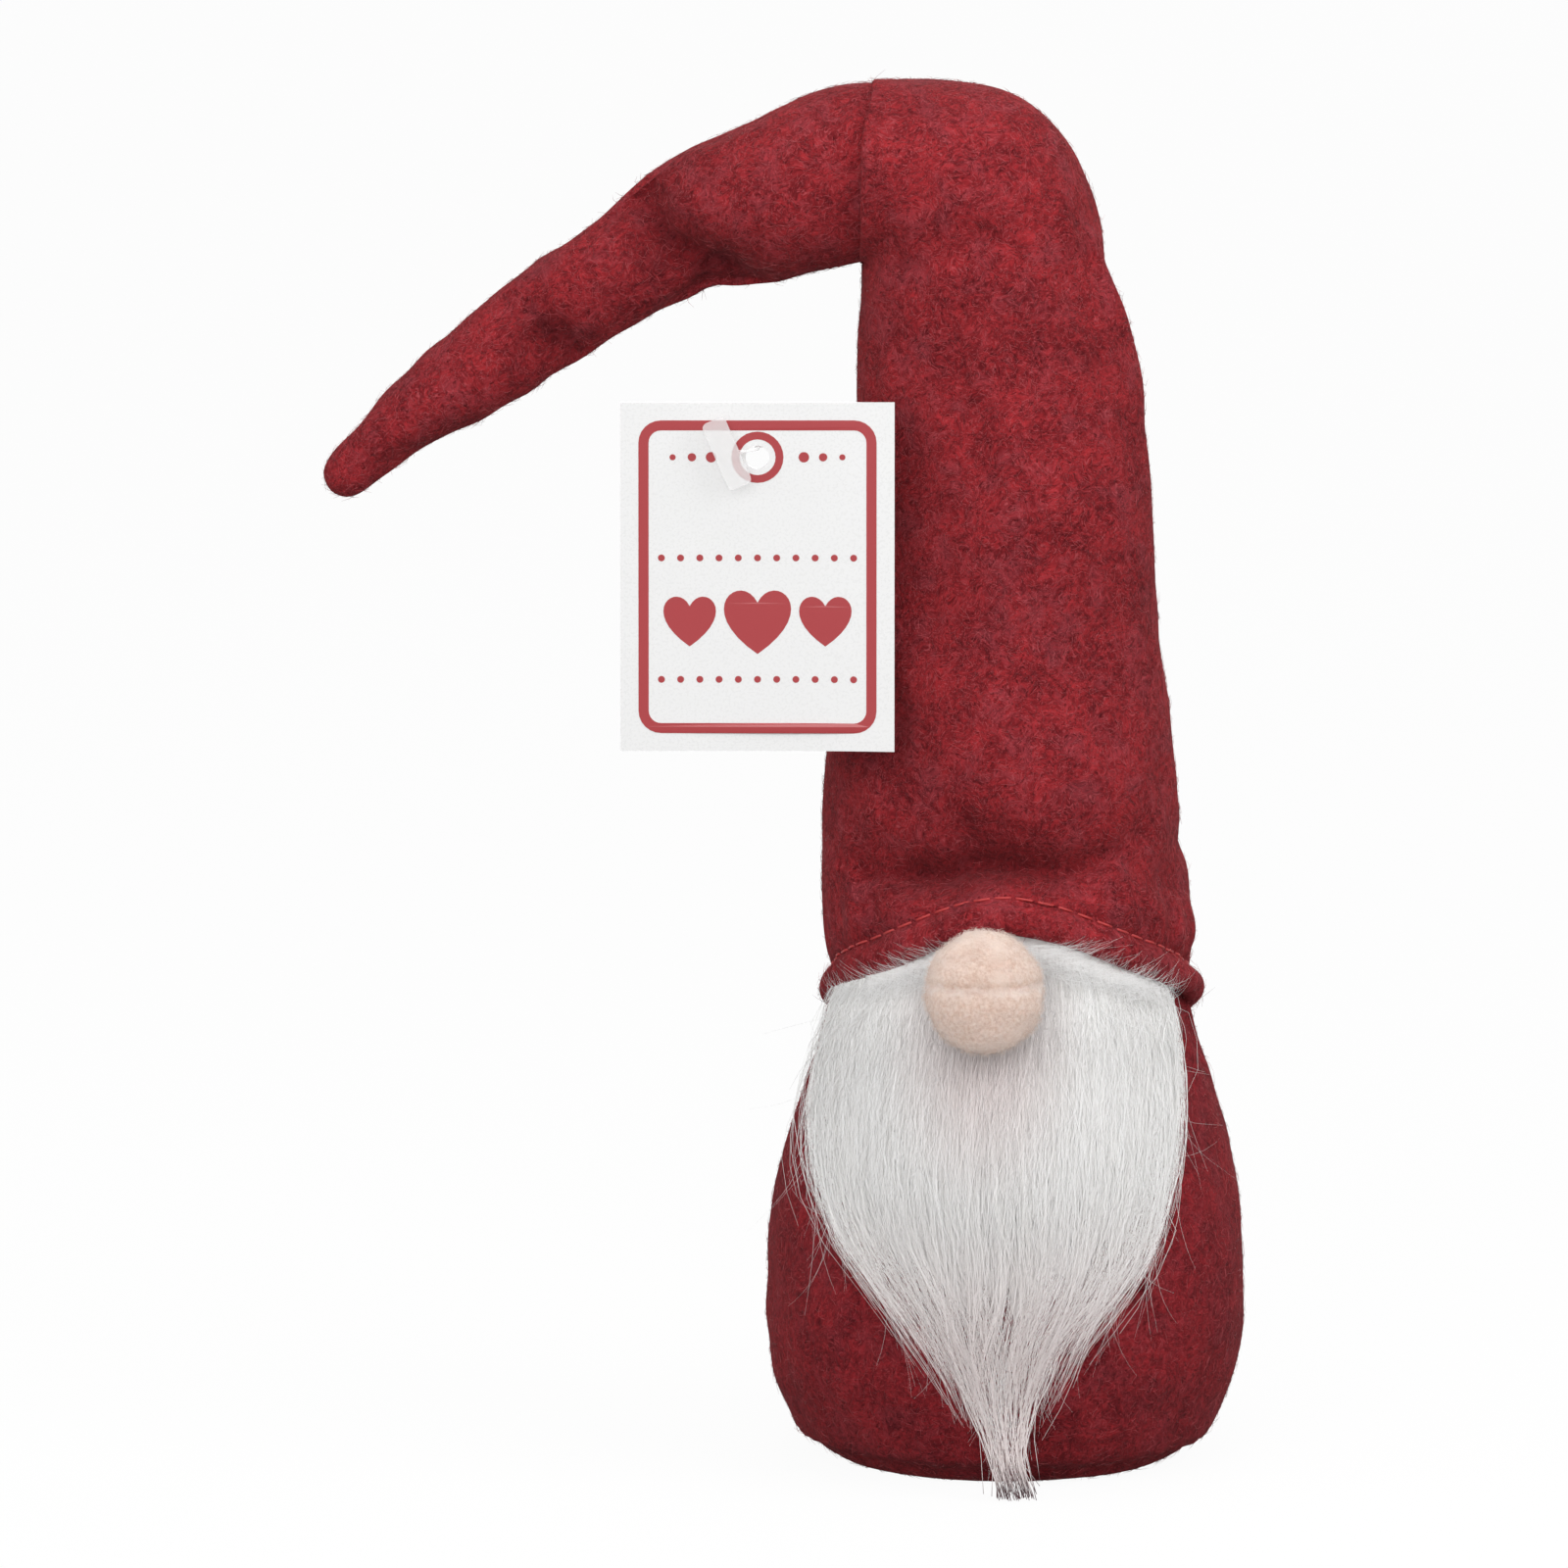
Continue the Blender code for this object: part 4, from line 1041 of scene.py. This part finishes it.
edge_count = 90
edge_side = np.sign(column(-1, 1, edge_count))
edge_hairs = loose(
    edge_side * column(0.86, 1.0, edge_count),
    column(36, 76, edge_count) * mm,
    edge_side * (0.03 + np.abs(dice.normal(0, 0.20, (edge_count, 1)))),
    dice.normal(0, 0.45, (edge_count, 1)),
    column(8, 24, edge_count) * mm,
    column(0.4, 2.2, edge_count),
)
stray_count = 640
stray_hairs = loose(
    column(-0.85, 0.85, stray_count),
    column(24, 84, stray_count) * mm,
    dice.normal(0, 0.40, (stray_count, 1)),
    dice.normal(0, 0.9, (stray_count, 1)),
    column(6, 22, stray_count) * mm,
    column(1.6, 3.4, stray_count),
)
loose_hair = hair("loose_hair", (0.94, 0.935, 0.925), (0.98, 0.975, 0.97))
edge_thickness = dice.uniform(0.018, 0.032, edge_count) * mm
hang_pile("edge_hairs", edge_hairs, edge_thickness, loose_hair, soft=loose_soft)
stray_thickness = dice.uniform(0.020, 0.036, stray_count) * mm
hang_pile("stray_hairs", stray_hairs, stray_thickness, loose_hair, soft=loose_soft)

backing_low, backing_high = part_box("beard_backing")


def backing_place(side, share):
    side *= 0.8
    height = np.array(backing_low.z + (backing_high.z - backing_low.z) * share)
    height = np.minimum(height, hem_height(math.pi / 2 + math.asin(0.94 * side)) + 1.5 * mm)
    x = beard_x(side, height)
    return x, beard_front(x, height, 0.1 * mm), height


cloth = woven("backing_cloth", (0.50, 0.49, 0.46), (0.74, 0.73, 0.70), 0.4 * mm)
backing = beard_sheet("beard_cloth", 24, 16, backing_place, cloth, 0.4 * mm)
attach(backing, "body")
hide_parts("beard_backing")


# Nose. A ball of fibre with peach fleece drawn tightly round it and gathered at the back. The fleece
# has a short nap and a soft crease across the middle.

nose_low, nose_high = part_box("nose_cover")
nose_middle = (nose_low + nose_high) / 2
nose_half = (nose_high - nose_low) / 2
nose_half.x *= 1.03
nose_half.z *= 0.97
crease_rise = 1.9 * mm
ball = bmesh.new()
bmesh.ops.create_icosphere(ball, subdivisions=5, radius=1)
bmesh.ops.scale(ball, verts=ball.verts, vec=nose_half)
bmesh.ops.translate(ball, verts=ball.verts, vec=nose_middle)
made, shader, place = new_shader("nose_fleece")
curls = clouds(place, 0.7 * mm, 4.0, 0.65)
blush = clouds(place, 7 * mm, 2.0)
tone = mixed(step_between(curls, 0.35, 0.65), (0.64, 0.460, 0.377), (0.775, 0.622, 0.545))
tone = mixed(step_between(blush, 0.4, 0.7), tone, (0.75, 0.598, 0.522))
ragged = times(clouds(place, 4 * mm, 4.0, 0.7), 4.4 * mm)
level = sum_up(add_node(made.node_tree, "SeparateXYZ", i0=place).outputs[2], ragged)
# Along the crease: a pale band just below it, and a thin tan line above it that is painted shade of the
# crease's groove.
crease_band_and_painted_shade = ((1.7, 1.2, 0.42, (0.87, 0.775, 0.725)), (3.0, 0.8, 0.24, (0.58, 0.42, 0.31)))
for above, half, share, tint in crease_band_and_painted_shade:
    off = sum_up(level, nose_middle.z + crease_rise + above * mm, "SUBTRACT")
    band = step_between(sum_up(off, 0.0, "ABSOLUTE"), half * mm, 0.2 * half * mm)
    tone = mixed(times(band, share), tone, tint)
plug(shader, Base_Color=tone, Normal=bumps(curls, 0.7, 0.35 * mm), Roughness=0.95, Sheen_Weight=0.3)
plug(shader, Subsurface_Weight=0.6, Subsurface_Radius=(1.0, 0.75, 0.6), Subsurface_Scale=6 * mm)
nose_fleece = piece_of("nose_fleece", ball, made)


def nose_hills(points, normals):
    z = points[:, 2] - nose_middle.z
    hills = 0.25 * mm * lumps(points, 6 * mm, 31) + 0.12 * mm * lumps(points, 2.2 * mm, 32)
    front = smooth_step(-normals[:, 1], 0.0, 0.5)
    hills -= 0.75 * mm * ridge(z - crease_rise, 1.0 * mm) * front
    return hills


push(nose_fleece, nose_hills)
soften(nose_fleece, lambda points: points * 0 + (0, -1, -0.1), 2.2)
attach(nose_fleece, "body")
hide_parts("nose_cover", "nose_core")


def fuzz(name, piece, count, length, radius, stand, finish):
    """Short loose fibres on a piece's skin, each bent over sideways and standing off by a share of its
    length."""
    mesh = piece.data
    mesh.calc_loop_triangles()
    corners = np.empty(len(mesh.loop_triangles) * 3, dtype=int)
    mesh.loop_triangles.foreach_get("vertices", corners)
    triangles = points_of(mesh)[corners.reshape(-1, 3)]
    spans = np.cross(triangles[:, 1] - triangles[:, 0], triangles[:, 2] - triangles[:, 0])
    areas = np.linalg.norm(spans, axis=1)
    picked = dice.choice(len(triangles), count, p=areas / areas.sum())
    shares = dice.dirichlet((1, 1, 1), count)
    roots = (triangles[picked] * shares[:, :, None]).sum(axis=1)
    outward = spans[picked] / areas[picked, None]
    sideways = np.cross(outward, dice.normal(size=(count, 3)))
    sideways /= np.linalg.norm(sideways, axis=1)[:, None]
    bends = np.cross(outward, sideways) * dice.normal(0, 0.35, (count, 1))
    spread = length * column(0.5, 1.3, count)
    rise = spread * stand * column(0.4, 1.6, count)
    places = np.stack(
        [
            roots - 0.1 * mm * outward,
            roots + 0.5 * spread * sideways + 0.8 * rise * outward,
            roots + spread * (sideways + bends) + rise * outward,
        ],
        axis=1,
    )
    places[:, :, 2] = np.maximum(places[:, :, 2], 0.05 * mm)
    return strand_mesh(name, places, np.full(count, radius), finish)


nose_fuzz = fuzz(
    "nose_fuzz", nose_fleece, 5200, 0.8 * mm, 0.032 * mm, 0.6,
    hair("fleece_fibre", (0.70, 0.55, 0.475), (0.80, 0.665, 0.595)),
)
soften(nose_fuzz, lambda points: points * 0 + (0, -1, 0), 1.2)
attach(nose_fuzz, "body")


# Felt fibres. Loose wool fibres stand a little off the felt of the sack, the hat and its tip, some
# paler and some darker than the felt.

FIBRE_TONES = (
    ("pale", (0.33, 0.030, 0.036), (0.42, 0.075, 0.085)),
    ("dark", (0.09, 0.007, 0.010), (0.12, 0.011, 0.015)),
)
for tone, root_tint, tip_tint in FIBRE_TONES:
    for part, skin, count in (("hat", hat_felt, 5200), ("tip", tip_felt, 2000), ("body", body_felt, 3800)):
        finish = hair(f"{part}_fibre_{tone}", root_tint, tip_tint)
        fibres = fuzz(f"{part}_fibres_{tone}", skin, count, 2.2 * mm, 0.040 * mm, 0.09, finish)
        if part == "tip":
            bend_with_tip(fibres)
        else:
            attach(fibres, "body")


# Gift tag. Stiff card with a glossy coat, punched near the top and a little curled at its right edge.
# Its front is printed in one red with a border, a ring round the hole, hearts and dots.

made, shader, place = new_shader("tag_card")
pulp = clouds(place, 0.5 * mm, 4.0)
waves = clouds(place, 12 * mm, 2.0)
card = mixed(pulp, (0.745, 0.745, 0.74), (0.77, 0.77, 0.77))
plug(shader, Base_Color=card, Roughness=ranged(pulp, 0.22, 0.34), Normal=bumps(waves, 0.15, 0.6 * mm))
plug(shader, Coat_Weight=0.25, Coat_Roughness=0.12)
dress("gift_tag", made)

tag_low, tag_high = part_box("gift_tag")
tag_width = tag_high.x - tag_low.x
tag_length = tag_high.z - tag_low.z
tag_curl = 1.2 * mm
card_thickness = 0.5 * mm
tag_hole = Vector((-43.8, 0, 185.3)) * mm
ink_thickness = 0.03 * mm
border_inset = 3.2 * mm
border_width = 1.8 * mm
border_corner = 4.0 * mm
heart_level = -7.5 * mm
dot_gap = 3.4 * mm
HEART = ((0.0, 0.28), (0.28, 0.85), (1.15, 0.18), (0.0, -0.62))


def print_loop(places):
    """A closed outline of the print, as points on the card in metres from its middle."""
    add_spline(artwork, [(x, z, 0, 1) for x, z in places]).use_cyclic_u = True


def round_corners(inset, corner):
    """A rectangle parallel to the card's edges, with rounded corners and points along its sides."""
    half_x = tag_width / 2 - inset - corner
    half_z = tag_length / 2 - inset - corner
    arcs = []
    for quarter, (x, z) in enumerate(((1, 1), (-1, 1), (-1, -1), (1, -1))):
        turns = [math.pi / 2 * (quarter + i / 6) for i in range(7)]
        arcs.append([(x * half_x + corner * math.cos(t), z * half_z + corner * math.sin(t)) for t in turns])
    places = []
    for arc, following in zip(arcs, arcs[1:] + arcs[:1]):
        places += arc
        side = list(zip(arc[-1], following[0]))
        places += [[a + (b - a) * i / 12 for a, b in side] for i in range(1, 12)]
    return places


def circle(x, z, radius, points=28):
    turns = [2 * math.pi * i / points for i in range(points)]
    return [(x + radius * math.cos(turn), z + radius * math.sin(turn)) for turn in turns]


def heart(x, z, width):
    """A heart drawn as two mirrored curves."""
    half = []
    for i in range(17):
        share = i / 16
        rest = 1 - share
        weights = (rest**3, 3 * rest**2 * share, 3 * rest * share**2, share**3)
        half.append([sum(weight * end[axis] for weight, end in zip(weights, HEART)) for axis in (0, 1)])
    whole = half + [(-a, b) for a, b in half[-2:0:-1]]
    size = width / 1.12
    return [(x + a * size, z + b * size) for a, b in whole]


artwork = bpy.data.curves.new("tag_print", "CURVE")
artwork.dimensions = "2D"
artwork.fill_mode = "BOTH"
artwork.extrude = ink_thickness / 2
print_loop(round_corners(border_inset, border_corner))
print_loop(round_corners(border_inset + border_width, border_corner - border_width))
hole_up = tag_hole.z - (tag_low.z + tag_high.z) / 2
for radius in (4.6 * mm, 3.2 * mm):
    print_loop(circle(0, hole_up, radius))
for x, width in ((-12 * mm, 9.0 * mm), (0, 11.5 * mm), (12 * mm, 9.0 * mm)):
    print_loop(heart(x, heart_level, width))
for row in (3.4 * mm, -18.4 * mm):
    for i in range(-5, 6):
        print_loop(circle(i * dot_gap, row, 0.62 * mm, 14))
for side in (-1, 1):
    for i in range(3):
        print_loop(circle(side * (8.2 * mm + dot_gap * i), hole_up, (0.95 - 0.2 * i) * mm, 14))
ink = bmesh.new()
ink.from_mesh(mesh_along(artwork))
bmesh.ops.remove_doubles(ink, verts=ink.verts, dist=0.002 * mm)
card_front = tag_high.y - card_thickness
card_middle = (tag_low + tag_high) / 2
for point in ink.verts:
    across = max(0.0, point.co.x / (tag_width / 2))
    down = 0.5 - point.co.y / tag_length
    front = card_front - tag_curl * across**2 * down - ink_thickness / 2 - 0.01 * mm
    point.co = (card_middle.x + point.co.x, front - point.co.z, card_middle.z + point.co.y)
bmesh.ops.recalc_face_normals(ink, faces=ink.faces)
made, shader, place = new_shader("print_red")
red_ink = mixed(clouds(place, 0.25 * mm, 3.0), (0.32, 0.017, 0.022), (0.37, 0.024, 0.030))
plug(shader, Base_Color=red_ink, Roughness=0.28, Coat_Weight=0.25)
tag_print = piece_of("tag_print", ink, made)
tag_print.data.shade_flat()
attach(tag_print, "gift_tag")


# Tag pin. One moulding of clear nylon: a paddle in front of the card, a thin thread through the hole
# and the felt, and a cross-bar inside the hat that keeps it from being pulled out.

made, shader, place = new_shader("pin_nylon")
flow = clouds(place, 2.0 * mm, 2.0)
plug(shader, Base_Color=(0.90, 0.90, 0.90, 1), Alpha=0.36, Specular_IOR_Level=0.8)
plug(shader, Roughness=ranged(flow, 0.08, 0.22), Normal=bumps(flow, 0.25, 0.2 * mm))
dress("tag_pin", made)


# Floor, light and camera. A plain pale floor and a white surround that only the camera sees, five soft
# lamps at a plain level, and a long lens that looks down a little on the front.

def seen_directly(tree):
    """1 for rays from the camera, also those that are mirrored or go through clear things, and else 0."""
    rays = add_node(tree, "LightPath").outputs
    seen = sum_up(rays["Is Camera Ray"], rays["Is Glossy Ray"], "MAXIMUM")
    return sum_up(seen, rays["Is Transmission Ray"], "MAXIMUM")


floor = bmesh.new()
bmesh.ops.create_grid(floor, x_segments=1, y_segments=1, size=30)
made, shader, _ = new_shader("floor_white")
tree = made.node_tree
plug(shader, Base_Color=(0.20, 0.20, 0.20, 1), Roughness=0.9)
paper = add_node(tree, "BsdfDiffuse", Color=(0.90, 0.90, 0.90, 1))
glow = add_node(tree, "Emission", Color=(1, 1, 1, 1), Strength=1.0)
lit = add_node(tree, "MixShader", i0=0.95, i1=paper.outputs[0], i2=glow.outputs[0])
blend = add_node(tree, "MixShader", i0=seen_directly(tree), i1=shader.outputs[0], i2=lit.outputs[0])
plug(tree.nodes["Material Output"], Surface=blend.outputs[0])
piece_of("floor", floor, made)

ambient = 0.20
world = bpy.data.worlds.new("studio")
bpy.context.scene.world = world
world.use_nodes = True
strength = sum_up(times(seen_directly(world.node_tree), 1 - ambient), ambient)
plug(world.node_tree.nodes["Background"], Color=(1, 1, 1, 1), Strength=strength)

aim = Vector((-0.03, 0, 0.13))
SOFTBOXES = (
    ("key_box", (0.95, -0.60, 0.80), 0.9, 10.0),
    ("front_box", (-0.25, -1.60, 0.80), 1.4, 20.0),
    ("side_box", (-1.1, -0.60, 0.55), 0.9, 4.4),
    ("top_box", (0.0, -0.1, 1.0), 0.5, 2.4),
    ("back_box", (0.80, 3.20, 1.20), 2.0, 30.0),
)
for name, place, size, power in SOFTBOXES:
    lamp = bpy.data.lights.new(name, "AREA")
    lamp.size = size
    lamp.energy = power
    box = add_object(name, lamp)
    box.location = place
    box.rotation_euler = (aim - box.location).to_track_quat("-Z", "Y").to_euler()

camera_distance = 6.0
camera_lift = math.radians(10)
view_centre = Vector((-39.1, 0, 121)) * mm
picture_pixels = 1600
pixel_size = 0.1745 * mm
lens = bpy.data.cameras.new("camera")
lens.sensor_width = 36
lens.lens = lens.sensor_width * camera_distance / (picture_pixels * pixel_size)
camera = add_object("camera", lens)
camera.location = view_centre + camera_distance * Vector((0, -math.cos(camera_lift), math.sin(camera_lift)))
camera.rotation_euler = (math.pi / 2 - camera_lift, 0, 0)
bpy.context.scene.camera = camera
bpy.context.scene.view_settings.view_transform = "Standard"
